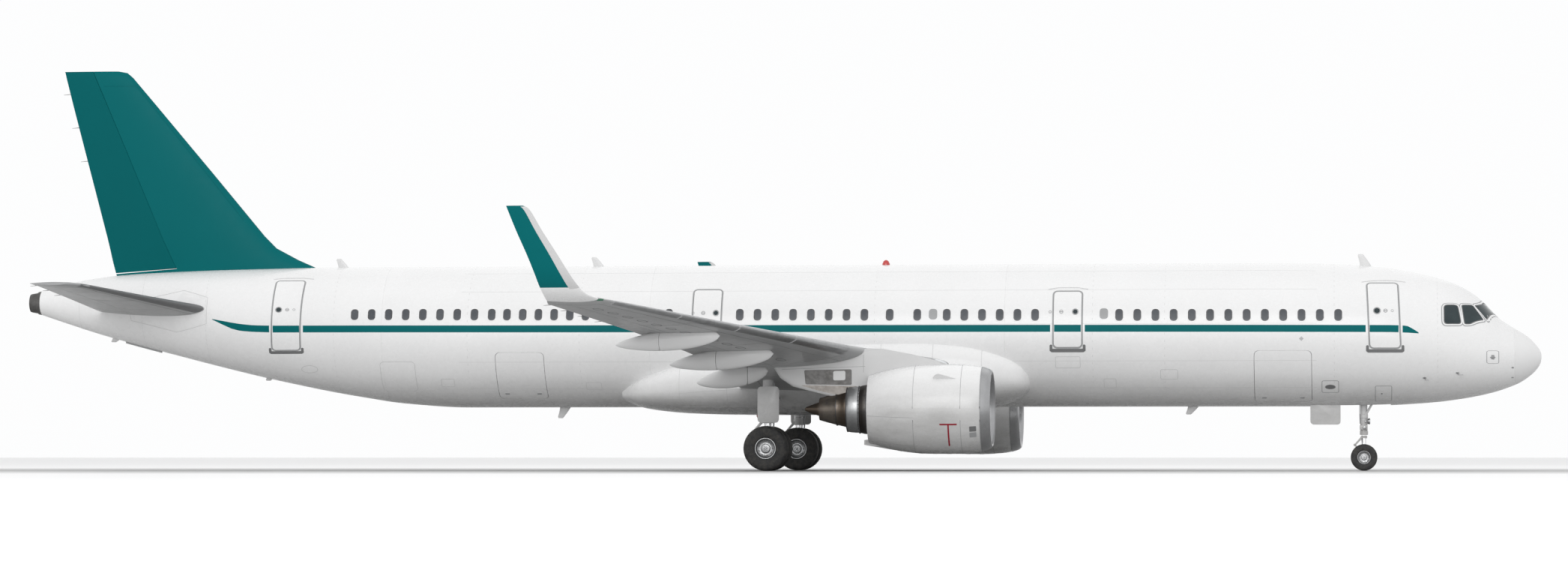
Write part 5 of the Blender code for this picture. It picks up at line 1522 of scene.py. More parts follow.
# Fan blade sections: (radius, chord, stagger in degrees, thickness, shift forward)
BLADE_SECTIONS = (
    (0.24, 0.25, 24, 0.034, 0.02), (0.34, 0.26, 30, 0.028, 0.03), (0.45, 0.28, 38, 0.022, 0.045),
    (0.57, 0.3, 46, 0.017, 0.05), (0.68, 0.31, 53, 0.013, 0.045), (0.78, 0.31, 59, 0.01, 0.03),
    (FAN_RADIUS, 0.29, 63, 0.008, 0.015),
)
SPINNER = (
    (15.797, 0.004), (15.81, 0.03), (15.85, 0.07), (15.92, 0.118), (16, 0.16), (16.1, 0.205),
    (16.2, 0.242), (16.24, 0.25), (16.375, 0.252), (16.375, 0.004),
)
CORE_FRONT = (
    (16.39, 0.004), (16.39, 0.24), (16.52, 0.35), (16.7, 0.46), (17, 0.555), (17.3, 0.62), (17.8, 0.665),
    (18.3, 0.69), (18.8, 0.7), (18.82, 0.69), (18.82, 0.004),
)
NOZZLE = ((19.38, 0.3), (19.38, 0.47), (19.41, 0.5), (19.44, 0.508), (19.5, 0.492), (19.66, 0.452),
    (19.68, 0.455), (19.72, 0.455), (19.74, 0.436), (19.98, 0.372), (20.17, 0.318), (20.2, 0.31),
    (20.2, 0.298), (19.98, 0.35), (19.7, 0.3))
PLUG = (
    (19.6, 0.004), (19.6, 0.25), (19.95, 0.235), (20.15, 0.21), (20.3, 0.165), (20.45, 0.112), (20.56, 0.07),
    (20.61, 0.04), (20.622, 0.02), (20.624, 0.004),
)
GUIDE_VANES = 26
STRAKE_ANGLE = 42
PYLON_OUTLINE = (
    (16.4, 2.9), (16.9, 3.08), (17.6, 3.26), (18.4, 3.41), (18.85, 3.43), (19.4, 3.28), (21.55, 3.05),
    (21.5, 2.9), (21.3, 2.6), (20.95, 2.36), (20.3, 2.2), (19.5, 2), (16.4, 2),
)
PYLON_HALF_WIDTH = 0.2


def cowl_surface(side):
    """surface(station, angle above level on the outboard side, lift) of an engine cowl."""
    def surface(station, angle, lift):
        radius = read_line(COWL_OUTER, station) + lift
        return place(station, side * (ENGINE_Y + radius * cos(angle)), ENGINE_Z + radius * sin(angle))
    return surface


def sampled(table, step):
    """An outline read at even steps on its curve."""
    first, last = table[0][0], table[-1][0]
    count = max(2, round((last - first) / step))
    return [(s, read_line(table, s)) for s in (first + (last - first) * k / count for k in range(count + 1))]


def engine_point(side, station, radius, angle):
    return place(station, side * ENGINE_Y + radius * cos(angle), ENGINE_Z + radius * sin(angle))


def fan_blade(bm, centre, angle):
    """One twisted, swept blade of the fan, lofted from its root to its tip."""
    radial = Vector((0, cos(angle), sin(angle)))
    around = Vector((0, -sin(angle), cos(angle)))
    rings = []
    for radius, chord, stagger, thickness, shift in smooth_rows(BLADE_SECTIONS, 2):
        turn = radians(stagger)
        along = Vector((cos(turn), 0, 0)) + around * sin(turn)
        across = Vector((-sin(turn), 0, 0)) + around * cos(turn)
        ring = []
        for a in circle_angles(18):
            camber = 0.06 * chord * (1 - cos(a) ** 2)
            ring.append(centre + (radial * radius + along * (chord / 2 * cos(a))
                                  + across * (thickness / 2 * sin(a) + camber)
                                  + Vector((shift + 0.045, 0, 0))) * SCALE)
        rings.append(ring)
    loft(bm, rings)


def guide_vane(bm, side, angle):
    rings = []
    for radius, start, length in ((0.5, 16.92, 0.26), (1.02, 16.98, 0.2)):
        ring = []
        for a in circle_angles(12):
            s = start + length * (1 - cos(a)) / 2
            offset = 0.012 * sin(a) + 0.02 * (1 - cos(a) ** 2)
            ring.append(engine_point(side, s, radius, angle + offset / radius))
        rings.append(ring)
    loft(bm, rings)


# What is turned about an engine's axis: (name, finish, outline, node that it replaces)
ENGINE_RINGS = (
    ("lip_ring", "chrome_lip", smooth_rows(LIP_OUTLINE, 6), "inlet_lip"),
    ("cowl_shell", "white_gloss",
     [(LIP_JOINT + 0.004, 1.165)] + sampled(COWL_OUTER, 0.07)[1:] + sampled(COWL_INNER, 0.1)[::-1], "cowl"),
    ("inlet_lining", "panel_grey",
     ((15.64, 0.9), (15.64, 0.888), (15.9, 0.886), (16.13, 0.886), (16.13, 0.9)), ""),
    ("fan_track", "soot_and_shade_dark", ((16.14, 0.9), (16.14, 0.884), (16.42, 0.884), (16.42, 0.9)), ""),
    # The core casing and the dark ring just aft of the cowl stand for the shade in the fan duct's exit:
    # painted shade
    ("core_casing", "soot_and_shade_dark", CORE_FRONT, "engine_core"),
    ("core_ring_shadow", "soot_and_shade_dark", ((18.8, 0.5), (18.8, 0.69), (18.86, 0.7), (18.94, 0.692), (19.04, 0.668),
                                     (19.05, 0.655), (19.05, 0.5)), ""),
    ("core_ring_bright", "bare_alloy", ((19.04, 0.48), (19.04, 0.655), (19.06, 0.664), (19.2, 0.66),
                                        (19.33, 0.648), (19.4, 0.632), (19.415, 0.62), (19.415, 0.48)), ""),
    ("core_nozzle", "hot_nozzle", NOZZLE, ""),
    ("core_plug", "hot_nozzle", PLUG, ""),
)


def turn_about_engine(bm, side, outline, steps):
    add_turned(bm, outline, (0, side * ENGINE_Y, ENGINE_Z), (-1, 0, 0), steps, wrap=True)


def fan(side, word, count):
    """The fan's blades, its spinner and the white spiral on it."""
    body = f"fan_{word}"
    blades, spinner, spiral = new_meshes(3)
    for angle in circle_angles(count):
        fan_blade(blades, place(FAN_STATION, side * ENGINE_Y, ENGINE_Z), angle)
    add_piece(f"fan_blades_{word}", blades, "fan_titanium", body, [body])
    turn_about_engine(spinner, side, SPINNER, 72)

    def surface(turn, station, lift):
        return engine_point(side, station, read_line(SPINNER[:7], station) + lift, turn)

    line_on(spiral, surface, [(n * 0.55, 15.86 + n * 0.022) for n in range(9)], 0.022, 0.003, 0.006, 5)
    add_pieces(f"_{word}", (("fan_spinner", spinner, "joint_dark"), ("fan_spiral", spiral, "white_gloss")),
        body)


def cowl_patch(bm, surface, start, end, low, high, radius, lift, levels):
    a, b = radians(low), radians(high)
    plate_on(bm, surface, rounded_polygon([(start, a), (end, a), (end, b), (start, b)], radius), lift, 0.01,
        levels)


def strake(bm, side, way):
    """A thin fin high on one flank of the cowl."""
    angle = radians(STRAKE_ANGLE)
    radial = Vector((0, side * way * cos(angle), sin(angle)))
    across = Vector((0, -radial.z, radial.y))
    rings = []
    for k in range(9):
        t = k / 8
        s = 16.31 + 0.63 * t
        rise = 0.2 * min(1, t / 0.8) if t < 0.82 else 0.2 - 0.15 * (t - 0.82) / 0.18
        foot = real(s, side * ENGINE_Y, ENGINE_Z) + radial * read_line(COWL_OUTER, s)
        rings.append([(foot + radial * h + across * w) * SCALE for h, w in
                      ((-0.04, -0.015), (0.006 + rise * 0.9, -0.0105), (0.012 + rise, 0),
                       (0.006 + rise * 0.9, 0.0105), (-0.04, 0.015))])
    loft(bm, rings)


def belly_fin(bm, side):
    """The low fin under the aft end of the cowl."""
    rings = []
    for k in range(9):
        s = 18 + 0.95 * k / 8
        reach = 1 + 0.16 * (1 - k / 8)
        low = min(1, 0.75 + k * 0.02) * min(reach, read_line(COWL_OUTER, min(s, 18.8)))
        half = 0.04 * (1 - 0.75 * k / 8)
        rings.append([place(s, side * ENGINE_Y + w, ENGINE_Z - r) for r, w in
                      ((low, -half), (reach - 0.02, -half), (reach, 0), (reach - 0.02, half), (low, half))])
    loft(bm, rings)


def cowl_trim(side, word):
    """Joints, latches, strakes, vents and the mark on one cowl."""
    surface = cowl_surface(side)
    lines, dark, grey, marks, strakes = new_meshes(5)
    for s in (15.628, 16.165, 17.486):
        line_on(lines, surface, [(s, a) for a in circle_angles(24)], 0.012, 0.0015, 0.006, 5, closed=True)
    for degrees in (-90, 78, 102):
        line_on(lines, surface, [(s, radians(degrees)) for s in (16.17, 17.4, 18.2, 18.78)],
                0.014, 0.0015, 0.006, 10)
    for degrees in (-58, -122, -12, 192):
        line_on(lines, surface, [(s, radians(degrees)) for s in (17.5, 18.2, 18.78)], 0.009, 0.001, 0.006, 8)
    line_on(marks, surface, [(16.5, radians(a)) for a in (-20.6, -38, -55.5)], 0.042, 0.003, 0.006, 8)
    line_on(marks, surface, [(s, radians(-20.6)) for s in (16.26, 16.5, 16.74)], 0.042, 0.003, 0.006, 4)
    cowl_patch(dark, surface, 15.73, 15.92, -31.6, -24, 0.02, 0.004, 2)
    cowl_patch(grey, surface, 15.73, 15.92, -40.7, -33, 0.02, 0.004, 2)
    for s in (16.5, 16.9, 17.3, 17.9, 18.4):
        cowl_patch(grey, surface, s, s + 0.12, -91.8, -88.2, 0.01, 0.005, 1)
    for way in (1, -1):
        strake(strakes, side, way)
    belly_fin(strakes, side)
    add_pieces(f"_{word}", (
        ("cowl_joints", lines, "panel_grey"), ("cowl_vent_dark", dark, "joint_dark"),
        ("cowl_vent_and_latches", grey, "panel_grey"), ("cowl_hoist_mark", marks, "mark_red"),
        ("cowl_strakes", strakes, "white_gloss")))


def core_trim(side, word):
    """Flanges and bolts on the core, and the exhaust struts."""
    bm = bmesh.new()
    for s, r in ((18.84, 0.702), (19.06, 0.668), (19.4, 0.637), (19.7, 0.458)):
        turn_about_engine(bm, side, [(s, r - 0.03), (s, r), (s + 0.006, r + 0.008), (s + 0.016, r + 0.008),
                                     (s + 0.022, r), (s + 0.022, r - 0.03)], 96)
    for a in circle_angles(36):
        y, z = side * ENGINE_Y + 0.675 * cos(a), ENGINE_Z + 0.675 * sin(a)
        add_rod(bm, (19.05, y, z), (19.085, y, z), 0.011, 6)
    for a in circle_angles(8, 0.5):
        add_rod(bm, *((19.96, side * ENGINE_Y + r * cos(a), ENGINE_Z + r * sin(a)) for r in (0.22, 0.35)),
                0.018, 10)
    add_piece(f"core_flanges_{word}", bm, "gear_dark")


class AIRLINER_OT_engines(bpy.types.Operator):
    """Turn the engine lips, cowls, cores and nozzles, and loft the fans and guide vanes"""
    bl_idname = "airliner.engines"
    bl_label = "Engines"

    def execute(self, context):
        for side, word in SIDES:
            for name, finish, outline, node in ENGINE_RINGS:
                bm = bmesh.new()
                turn_about_engine(bm, side, outline, 112)
                add_piece(f"{name}_{word}", bm, finish, replaced=[f"{node}_{word}"] if node else ())
            fan(side, word, context.scene.airliner_sizes.fan_blades)
            vanes = bmesh.new()
            for angle in circle_angles(GUIDE_VANES, 0.5):
                guide_vane(vanes, side, angle)
            add_piece(f"guide_vanes_{word}", vanes, "panel_grey")
            cowl_trim(side, word)
            core_trim(side, word)
        return {"FINISHED"}


def pylon(side, word):
    fairing, lines, shield, dark, brown = new_meshes(5)
    loft(fairing, [[place(s, side * ENGINE_Y + y, z) for s, z in PYLON_OUTLINE]
                   for y in (-PYLON_HALF_WIDTH, PYLON_HALF_WIDTH)])
    soften(fairing, [e for e in fairing.edges if any(len(f.verts) > 4 for f in e.link_faces)], 0.15, 6)
    # The pylon fairing is painted pale grey, darker than the white cowls: partly its paint, partly painted
    # shade between wing and engine
    add_piece(f"pylon_fairing_{word}", fairing, "pale_grey_and_pylon_shade", replaced=[f"pylon_{word}"], angle=radians(50))
    for way in (1, -1):
        def surface(s, z, lift):
            return place(s, side * ENGINE_Y + way * (PYLON_HALF_WIDTH + lift), z)

        for points in (((18.9, 2.92), (21.25, 2.84)), ((18.95, 2.75), (18.95, 3.25))):
            line_on(lines, surface, points, 0.012, 0.002, 0.006, 6)
        for bm, lift, corners in (
                (dark, 0.004, ((19.28, 2.84), (20.62, 2.82), (20.58, 2.42), (19.28, 2.4))),
                (brown, 0.003, ((19.12, 2.37), (20.72, 2.4), (20.28, 2.26), (19.52, 2.08), (19.1, 2.07))),
                (shield, 0.007, ((19.46, 2.8), (19.8, 2.79), (19.8, 2.53), (19.46, 2.54)))):
            plate_on(bm, surface, rounded_polygon(corners, 0.05), lift, 0.01, 1)
    add_pieces(f"_{word}", (
        ("pylon_joints", lines, "panel_grey"), ("pylon_heat_shields", dark, "shield_dark"),
        ("pylon_lower_shields", brown, "shield_brown"), ("pylon_hatches", shield, "edge_pale")))


class AIRLINER_OT_pylons(bpy.types.Operator):
    """Shape the pylons that carry the engines, with their seams and heat shields"""
    bl_idname = "airliner.pylons"
    bl_label = "Pylons"

    def execute(self, context):
        for side, word in SIDES:
            pylon(side, word)
        return {"FINISHED"}


# Landing gear
NOSE_GEAR = 5.07
NOSE_TYRE_RADIUS = 0.381
NOSE_TYRE_WIDTH = 0.224
NOSE_TRACK = 0.5
NOSE_HUB = 0.19
MAIN_GEAR = 21.9
MAIN_GEAR_Y = 3.795
MAIN_TYRE_RADIUS = 0.635
MAIN_TYRE_WIDTH = 0.455
MAIN_TRACK = 0.93
MAIN_HUB = 0.3
# Wheel disc from its outer flange to its inner one: (share of the width, share of the hub radius)
RIM_OUTLINE = (
    (0.4, 0.985), (0.425, 1), (0.44, 0.985), (0.44, 0.93), (0.42, 0.9), (0.33, 0.87), (0.24, 0.8),
    (0.19, 0.66), (0.17, 0.5), (0.18, 0.44), (0.25, 0.42), (0.29, 0.38), (0.3, 0.3), (0.3, 0.04),
    (-0.1, 0.04), (-0.1, 0.7), (-0.16, 0.86), (-0.4, 0.9), (-0.42, 0.93), (-0.42, 0.985), (-0.4, 1),
    (-0.36, 0.965), (0.36, 0.965),
)
# Tyre shoulder from bead to crown: (share of the half width, share of the height over the bead)
TYRE_SHOULDER = (
    (0.8, 0), (0.88, 0.03), (0.94, 0.14), (0.985, 0.3), (1, 0.46), (0.99, 0.6), (0.955, 0.74),
    (0.89, 0.86), (0.8, 0.935), (0.7, 0.975), (0.58, 0.995),
)
TREAD_GROOVES = (-0.42, -0.15, 0.15, 0.42)


def tyre_outline(radius, width, bead):
    height, half = radius - bead, width / 2
    left = [(-half * x, bead + height * z) for x, z in TYRE_SHOULDER]
    tread = []
    for share in TREAD_GROOVES:
        g = share * half
        tread += [(g - 0.009, radius), (g - 0.006, radius - 0.014), (g + 0.006, radius - 0.014),
            (g + 0.009, radius)]
    return left + tread + [(-d, r) for d, r in left[::-1]]


def add_wheel(tyre_bm, rim_bm, dark_bm, station, y, way, radius, width, hub):
    """One tyre on its wheel, the dished face outwards, with bolts, vents and a valve."""
    centre = (station, y, radius)
    axis = (0, way, 0)
    add_turned(tyre_bm, tyre_outline(radius, width, hub), centre, axis, 120, wrap=True)
    add_turned(rim_bm, [(x * width, r * hub) for x, r in RIM_OUTLINE], centre, axis, 72, wrap=True)

    def stud(bm, reach, angle, start, end, *shape):
        """A rod across the wheel at a share of the hub's radius, between two shares of the width."""
        s, z = station + reach * hub * cos(angle), radius + reach * hub * sin(angle)
        add_rod(bm, (s, y + way * start * width, z), (s, y + way * end * width, z), *shape)

    for a in circle_angles(9, 0.5):
        stud(dark_bm, 0.72, a, 0.12, 0.215, 0.1 * hub, 20)
    for a in circle_angles(14):
        stud(rim_bm, 0.565, a, 0.15, 0.215, 0.035 * hub, 6)
    for a in circle_angles(6):
        stud(dark_bm, 0.2, a, 0.28, 0.325, 0.035 * hub, 6)
    stud(rim_bm, 0, 0, 0.28, 0.345, 0.13 * hub, 24, 0.004, 0.09 * hub)
    stud(dark_bm, 0.86, 0.6, 0.3, 0.4, 0.025 * hub, 10)


def add_profile(bm, station, y, rows, steps=40):
    """An upright turned leg from (height, radius) rows."""
    add_turned(bm, [(rows[0][0], 0.004)] + rows + [(rows[-1][0], 0.004)], (station, y, 0), (0, 0, 1), steps,
               wrap=True)


def add_slab(bm, outline, low_y, high_y, bevel=0.008):
    """A flat part: a (station, height) outline between two distances from the centre line."""
    before = len(bm.verts)
    loft(bm, [[place(s, y, z) for s, z in outline] for y in (low_y, high_y)])
    bm.verts.ensure_lookup_table()
    chosen = set(bm.verts[before:])
    soften(bm, [e for e in bm.edges if chosen.issuperset(e.verts)], bevel)


def torque_arms(bm, station, y, depth, low, knee, high, half):
    """Two forked links that meet at a bolt aft of the leg."""
    for z in (low, high):
        for way in (-1, 1):
            rings = []
            for t in (0, 0.5, 1):
                s = station + 0.06 + (depth - 0.06) * t
                level = z + (knee - z) * t
                spread = way * (half + (half * 0.35 - half) * t)
                tall = 0.05 - 0.016 * t
                rings.append([place(s, y + spread + w, level + h) for w, h in
                              ((-0.013, -tall), (0.013, -tall), (0.013, tall), (-0.013, tall))])
            loft(bm, rings)
        add_rod(bm, (station + 0.06, y - half - 0.03, z), (station + 0.06, y + half + 0.03, z), 0.032, 20,
                0.005)
    add_rod(bm, (station + depth, y - half * 0.6, knee), (station + depth, y + half * 0.6, knee), 0.04, 20,
            0.006)


def pipe(bm, points, radius):
    """A fixed metal pipe bent smoothly through full-size points."""
    path = [Vector(p) for p in smooth_rows(points, 6)]
    rings = []
    for k, here in enumerate(path):
        ahead = (path[min(k + 1, len(path) - 1)] - path[max(k - 1, 0)]).normalized()
        side = ahead.cross(Vector((0.3, 0.2, 0.93))).normalized()
        over = side.cross(ahead)
        rings.append([place(*(here + side * radius * cos(a) + over * radius * sin(a)))
                      for a in circle_angles(10)])
    loft(bm, rings)


def nose_leg():
    s = NOSE_GEAR
    leg, metal, lamps = new_meshes(3)
    add_profile(leg, s, 0, [(1.03, 0.1), (1.04, 0.118), (1.14, 0.118), (1.15, 0.105), (1.5, 0.105),
                            (1.51, 0.12), (1.62, 0.12), (1.63, 0.1), (2.5, 0.1), (2.51, 0.12), (2.745, 0.12)])
    add_rod(leg, (s, -0.3, 2.55), (s, 0.3, 2.55), 0.07, 24, 0.01)
    for way in (-1, 1):
        add_rod(leg, (s - 0.03, way * 0.05, 1.56), (4.46, way * 0.24, 2.6), 0.032, 20, 0.006)
        add_rod(leg, (4.46, way * 0.2, 2.6), (4.46, way * 0.3, 2.6), 0.05, 20, 0.006)
        add_box(leg, (s - 0.1, way * 0.1 - 0.035, 1.17), (s + 0.12, way * 0.1 + 0.035, 1.31), 0.015)
        add_rod(metal, (s - 0.02, way * 0.12, 1.24), (s - 0.02, way * 0.3, 1.24), 0.045, 24, 0.008)
        add_rod(metal, (s - 0.1, way * 0.15, 1.42), (s - 0.17, way * 0.15, 1.42), 0.075, 28, 0.006, 0.09)
        add_rod(lamps, (s - 0.165, way * 0.15, 1.42), (s - 0.182, way * 0.15, 1.42), 0.082, 28, 0, 0.07)
        pipe(metal, [(s + 0.11, way * 0.05, 1.35), (s + 0.12, way * 0.06, 1.7), (s + 0.11, way * 0.05, 2.1),
                     (s + 0.11, way * 0.05, 2.5)], 0.011)
    add_rod(metal, (s - 0.05, -0.2, 1.42), (s - 0.05, 0.2, 1.42), 0.02, 16)
    add_rod(metal, (s - 0.05, -0.03, 1.42), (s - 0.1, 0, 1.42), 0.03, 16)
    add_piece("nose_leg_casing", leg, "gear_white", replaced=["nose_gear_leg"])
    add_pieces("", (("nose_leg_fittings", metal, "bare_alloy"), ("taxi_lamps", lamps, "lamp_glass")))


def nose_strut():
    s, body = NOSE_GEAR, "nose_gear_strut"
    strut, fork = new_meshes(2)
    add_profile(strut, s, 0, [(0.42, 0.07), (0.43, 0.072), (1, 0.072), (1.01, 0.07)])
    add_piece("nose_strut_piston", strut, "gear_chrome", body, [body])
    add_profile(fork, s, 0, [(0.34, 0.08), (0.35, 0.09), (0.56, 0.09), (0.58, 0.078)])
    add_rod(fork, (s, -0.12, 0.381), (s, 0.12, 0.381), 0.085, 32, 0.012)
    add_slab(fork, [(s + 0.04, 0.43), (s + 0.13, 0.46), (s + 0.13, 0.54), (s + 0.04, 0.56)], -0.05, 0.05)
    add_slab(fork, [(s - 0.12, 0.34), (s - 0.04, 0.32), (s - 0.04, 0.46), (s - 0.12, 0.42)], -0.06, 0.06)
    add_rod(fork, (s - 0.11, -0.1, 0.38), (s - 0.11, 0.1, 0.38), 0.025, 16)
    torque_arms(fork, s, 0, 0.26, 0.5, 0.74, 0.96, 0.04)
    add_profile(fork, s, 0, [(0.93, 0.078), (0.935, 0.09), (1, 0.09), (1.008, 0.078)])
    add_piece("nose_strut_fork", fork, "gear_white", body)


def nose_wheels():
    s, body = NOSE_GEAR, "nose_wheels"
    tyres, rims, dark = new_meshes(3)
    for way in (-1, 1):
        add_wheel(tyres, rims, dark, s, way * NOSE_TRACK / 2, way, NOSE_TYRE_RADIUS, NOSE_TYRE_WIDTH,
            NOSE_HUB)
    add_rod(rims, (s, -0.24, NOSE_TYRE_RADIUS), (s, 0.24, NOSE_TYRE_RADIUS), 0.036, 24)
    add_piece("nose_tyres", tyres, "tyre_black", body, ["nose_tyre_left", "nose_tyre_right"])
    add_piece("nose_rims", rims, "bare_alloy", body, [body])
    add_piece("nose_rim_vents", dark, "gear_dark", body)


def nose_door(side, word):
    aft, half = NOSE_BAY[1:3]
    door, ribs = new_meshes(2)
    outline = shifted(rounded_box(0.86, 0.76, 0.09, step=0.5, corner=4), aft + 0.42, 1.71)
    add_slab(door, outline, *sorted((side * (half - 0.033), side * (half - 0.003))), 0.006)
    low, high = sorted((side * (half - 0.05), side * (half - 0.03)))
    for x in (5.95, 6.42):
        add_box(ribs, (x - 0.03, low, 1.45), (x + 0.03, high, 2.06), 0.006)
    add_piece(f"nose_door_panel_{word}", door, "white_gloss", replaced=[f"nose_gear_door_{word}"])
    add_piece(f"nose_door_ribs_{word}", ribs, "gear_white")


class AIRLINER_OT_nose_gear(bpy.types.Operator):
    """Build the nose gear: leg, steering collar, strut, links, lamps, wheels and doors"""
    bl_idname = "airliner.nose_gear"
    bl_label = "Nose gear"

    def execute(self, context):
        nose_leg()
        nose_strut()
        nose_wheels()
        for side, word in SIDES:
            nose_door(side, word)
        return {"FINISHED"}


def main_leg(side, word):
    s, y = MAIN_GEAR, side * MAIN_GEAR_Y
    leg, metal, piston, brakes, door, arms = new_meshes(6)
    add_profile(leg, s, y, [(1.35, 0.13), (1.36, 0.165), (1.5, 0.165), (1.51, 0.15), (1.66, 0.15),
                            (1.67, 0.168), (1.76, 0.168), (1.77, 0.15), (2.69, 0.155)], 56)
    add_profile(piston, s, y, [(0.72, 0.105), (0.73, 0.108), (1.37, 0.108)], 48)
    add_profile(leg, s, y, [(0.54, 0.1), (0.56, 0.125), (0.86, 0.125), (0.9, 0.112)], 48)
    add_rod(leg, (s, y - 0.2, MAIN_TYRE_RADIUS), (s, y + 0.2, MAIN_TYRE_RADIUS), 0.13, 40, 0.015)
    torque_arms(leg, s + 0.08, y, 0.34, 0.78, 1.12, 1.43, 0.075)
    for offset in (-0.06, 0.06):
        add_rod(leg, (s - 0.02, y - side * 0.1, 1.7 + offset * 0.6), (s - 0.1 + offset, side * 0.35, 2.44),
                0.042, 24, 0.006)
    add_rod(leg, (s - 0.18, y * 0.56, 2.04), (s + 0.06, y * 0.56, 2.04), 0.06, 24, 0.01)
    add_rod(metal, (s - 0.06, y * 0.56, 2.1), (s - 0.03, y - side * 0.12, 2.45), 0.03, 20, 0.005)
    for way in (-1, 1):
        pipe(metal, [(s - 0.16, y + way * 0.05, 2.5), (s - 0.17, y + way * 0.06, 2),
                     (s - 0.17, y + way * 0.07, 1.5), (s - 0.14, y + way * 0.08, 1.1),
                     (s - 0.12, y + way * 0.14, 0.85), (s - 0.1, y + way * 0.2, 0.72)], 0.014)
        add_turned(brakes, [(0.1, 0.05), (0.1, 0.17), (0.12, 0.2), (0.22, 0.215), (0.24, 0.2), (0.24, 0.05)],
                   (s, y, MAIN_TYRE_RADIUS), (0, way, 0), 48, wrap=True)
        for a in circle_angles(7):
            add_rod(brakes, *((s + 0.16 * cos(a), y + way * x, MAIN_TYRE_RADIUS + 0.16 * sin(a))
                              for x in (0.06, 0.12)), 0.03, 14, 0.004)
    for z in (1.56, 1.9, 2.3):
        add_turned(metal, [(z, 0.12), (z, 0.158), (z + 0.03, 0.158), (z + 0.03, 0.12)], (s, y, 0), (0, 0, 1),
            40, wrap=True)
    out = y + side * 0.2
    outline = shifted(rounded_box(0.61, 1.03, 0.1, step=0.5, corner=5), s - 0.03, 1.88)
    add_slab(door, outline, *sorted((out, out + side * 0.035)))
    low, high = sorted((out - side * 0.004, y + side * 0.13))
    for z in (1.62, 2.16):
        add_box(arms, (s - 0.09, low, z - 0.03), (s + 0.05, high, z + 0.03), 0.008)
    add_rod(arms, (s, y + side * 0.1, 1.95), (s, out + side * 0.01, 1.95), 0.045, 24, 0.006)
    add_piece(f"main_leg_casing_{word}", leg, "gear_white", replaced=[f"main_gear_leg_{word}"])
    add_pieces(f"_{word}", (
        ("main_leg_fittings", metal, "bare_alloy"), ("main_piston", piston, "gear_chrome"),
        ("main_brakes", brakes, "gear_dark"), ("main_leg_door", door, "white_gloss"),
        ("main_door_arms", arms, "gear_white")))


def main_wheels(side, word):
    s, y, body = MAIN_GEAR, side * MAIN_GEAR_Y, f"main_wheels_{word}"
    tyres, rims, dark = new_meshes(3)
    for way in (-1, 1):
        add_wheel(tyres, rims, dark, s, y + way * MAIN_TRACK / 2, way, MAIN_TYRE_RADIUS, MAIN_TYRE_WIDTH,
            MAIN_HUB)
    add_rod(rims, (s, y - 0.46, MAIN_TYRE_RADIUS), (s, y + 0.46, MAIN_TYRE_RADIUS), 0.066, 28)
    add_piece(f"main_tyres_{word}", tyres, "tyre_black", body,
              [f"main_tyre_{word}_inner", f"main_tyre_{word}_outer"])
    add_piece(f"main_rims_{word}", rims, "bare_alloy", body, [body])
    add_piece(f"main_rim_vents_{word}", dark, "gear_dark", body)


class AIRLINER_OT_main_gear(bpy.types.Operator):
    """Build the main legs with their pistons, braces, links, leg doors, brakes and wheels"""
    bl_idname = "airliner.main_gear"
    bl_label = "Main gear"

    def execute(self, context):
        for side, word in SIDES:
            main_leg(side, word)
            main_wheels(side, word)
        return {"FINISHED"}


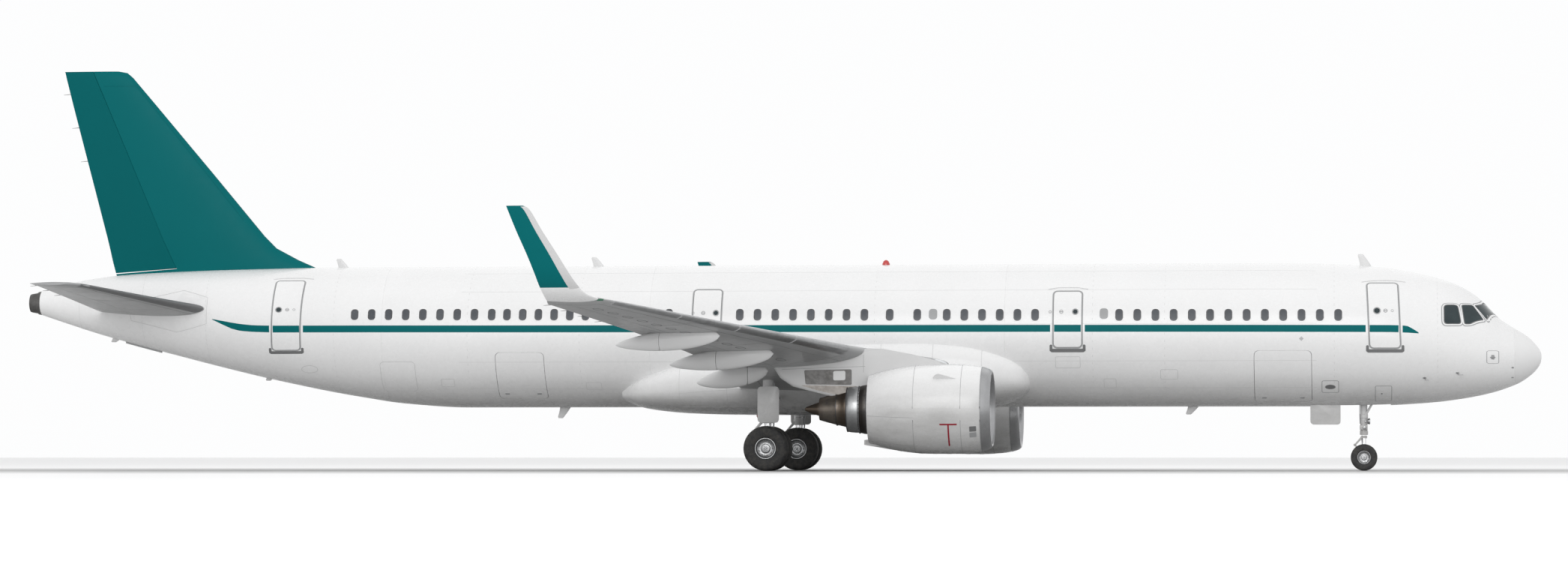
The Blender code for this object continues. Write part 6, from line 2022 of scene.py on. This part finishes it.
class AIRLINER_OT_studio(bpy.types.Operator):
    """Lay the pale floor, hang the soft lights and set the camera at the photograph's angle"""
    bl_idname = "airliner.studio"
    bl_label = "Studio"

    def execute(self, context):
        studio = context.scene.airliner_studio
        bench = NodeBench("studio_floor_painted_shadow")
        cloud = bench.spread(bench.noise(0.12, 5), 0.3, 0.7)
        base = bench.mix(cloud, scaled(tuple(studio.floor), 0.985), scaled(tuple(studio.floor), 1.01))
        # Painted shadow: the floor is darkest in an oval under the aircraft, twice as long as wide, and pales
        # to FLOOR_FAR further out
        squares = [bench.math("POWER", bench.math("MULTIPLY", bench.math("ABSOLUTE", bench.axis(letter)),
            share), 2) for letter, share in (("X", 0.5), ("Y", 1))]
        away = bench.math("SQRT", bench.math("ADD", *squares))
        base = bench.mix(bench.spread(away, *FLOOR_SHADOW_SWEEP), base, FLOOR_FAR)
        rough = bench.spread(bench.noise(1.5, 5), 0.3, 0.7, 0.5, 0.62)
        floor_finish = bench.close(base, rough, bench.bump(bench.noise(30, 3), 0.02, 0.001))
        bm = bmesh.new()
        bmesh.ops.create_circle(bm, cap_ends=True, segments=96, radius=900)
        mesh = bpy.data.meshes.new("floor")
        bm.to_mesh(mesh)
        bm.free()
        mesh.materials.append(floor_finish)
        floor = bpy.data.objects.new("floor", mesh)
        context.scene.collection.objects.link(floor)

        world = bpy.data.worlds.new("studio_world")
        world.use_nodes = True
        tree = world.node_tree
        tree.nodes["Background"].inputs["Color"].default_value = (0.955, 0.957, 0.96, 1)
        split = tree.nodes.new("ShaderNodeSeparateXYZ")
        fade = tree.nodes.new("ShaderNodeMapRange")
        for key, number in zip(("From Min", "From Max", "To Min", "To Max"), WORLD_FADE):
            fade.inputs[key].default_value = number
        tree.links.new(tree.nodes.new("ShaderNodeTexCoord").outputs["Generated"], split.inputs[0])
        tree.links.new(split.outputs["Z"], fade.inputs["Value"])
        tree.links.new(fade.outputs["Result"], tree.nodes["Background"].inputs["Strength"])
        context.scene.world = world
        for name, spot, size, power in (
                ("key_light", (0, -84, 26), 42, studio.key_power),
                ("top_light", (6, -16, 40), 40, studio.key_power * 0.04),
                ("back_light", (0, 34, 30), 36, studio.key_power * 0.05)):
            lamp = bpy.data.lights.new(name, "AREA")
            lamp.shape = "SQUARE"
            lamp.size = size
            lamp.energy = power
            holder = bpy.data.objects.new(name, lamp)
            holder.location = spot
            holder.rotation_euler = (Vector((0, 0, 2)) - Vector(spot)).to_track_quat("-Z", "Y").to_euler()
            context.scene.collection.objects.link(holder)

        turn = studio.azimuth
        right = Vector((cos(turn), sin(turn), 0))
        away = Vector((-sin(turn), cos(turn), 0))
        data = bpy.data.cameras.new("photo_camera")
        data.type = "PERSP"
        data.sensor_width = 36
        data.lens = LENS
        data.clip_end = 2000
        camera = bpy.data.objects.new("photo_camera", data)
        camera.location = -away * studio.distance + Vector((0, 0, studio.height))
        aim = right * CAMERA_ASIDE + Vector((0, 0, studio.height + studio.distance * tan(CAMERA_TILT)))
        camera.rotation_euler = (aim - camera.location).to_track_quat("-Z", "Y").to_euler()
        context.scene.collection.objects.link(camera)
        context.scene.camera = camera
        context.scene.view_settings.view_transform = "Standard"
        return {"FINISHED"}


LENS = 109.86
CAMERA_ASIDE = 0.175
CAMERA_TILT = radians(2.09)
WORLD_FADE = (0.1, 0.8, 1.03, 0.91)     # from the height of the horizon to overhead, and the strengths
# Distances over which the painted shadow under the aircraft fades out
FLOOR_SHADOW_SWEEP = (2.5, 15)
FLOOR_FAR = (0.9, 0.9, 0.9)

OPERATORS = (
    AIRLINER_OT_finishes, AIRLINER_OT_fuselage, AIRLINER_OT_passenger_doors, AIRLINER_OT_hold_doors,
    AIRLINER_OT_windows, AIRLINER_OT_cockpit, AIRLINER_OT_cheat_line, AIRLINER_OT_fittings,
    AIRLINER_OT_fairing, AIRLINER_OT_wings, AIRLINER_OT_winglets, AIRLINER_OT_tail,
    AIRLINER_OT_engines, AIRLINER_OT_pylons, AIRLINER_OT_nose_gear, AIRLINER_OT_main_gear,
    AIRLINER_OT_studio,
)
GROUPS = (
    ("airliner_paint", AirlinerPaint), ("airliner_sizes", AirlinerSizes), ("airliner_studio", AirlinerStudio),
)


class AIRLINER_PT_panel(bpy.types.Panel):
    """Lists the steps that dress the airliner, and their settings"""
    bl_idname = "AIRLINER_PT_panel"
    bl_label = "Airliner"
    bl_space_type = "VIEW_3D"
    bl_region_type = "UI"
    bl_category = "Airliner"

    def draw(self, context):
        layout = self.layout
        for name, group in GROUPS:
            box = layout.box()
            for key in group.__annotations__:
                box.prop(getattr(context.scene, name), key)
        for operator in OPERATORS:
            layout.operator(operator.bl_idname)


def register():
    for name, group in GROUPS:
        bpy.utils.register_class(group)
        setattr(bpy.types.Scene, name, bpy.props.PointerProperty(type=group))
    for operator in OPERATORS:
        bpy.utils.register_class(operator)
    bpy.utils.register_class(AIRLINER_PT_panel)


def unregister():
    bpy.utils.unregister_class(AIRLINER_PT_panel)
    for operator in reversed(OPERATORS):
        bpy.utils.unregister_class(operator)
    for name, group in reversed(GROUPS):
        delattr(bpy.types.Scene, name)
        bpy.utils.unregister_class(group)


def main():
    register()
    for operator in OPERATORS:
        getattr(bpy.ops.airliner, operator.bl_idname.split(".")[1])()


if __name__ == "__main__":
    main()
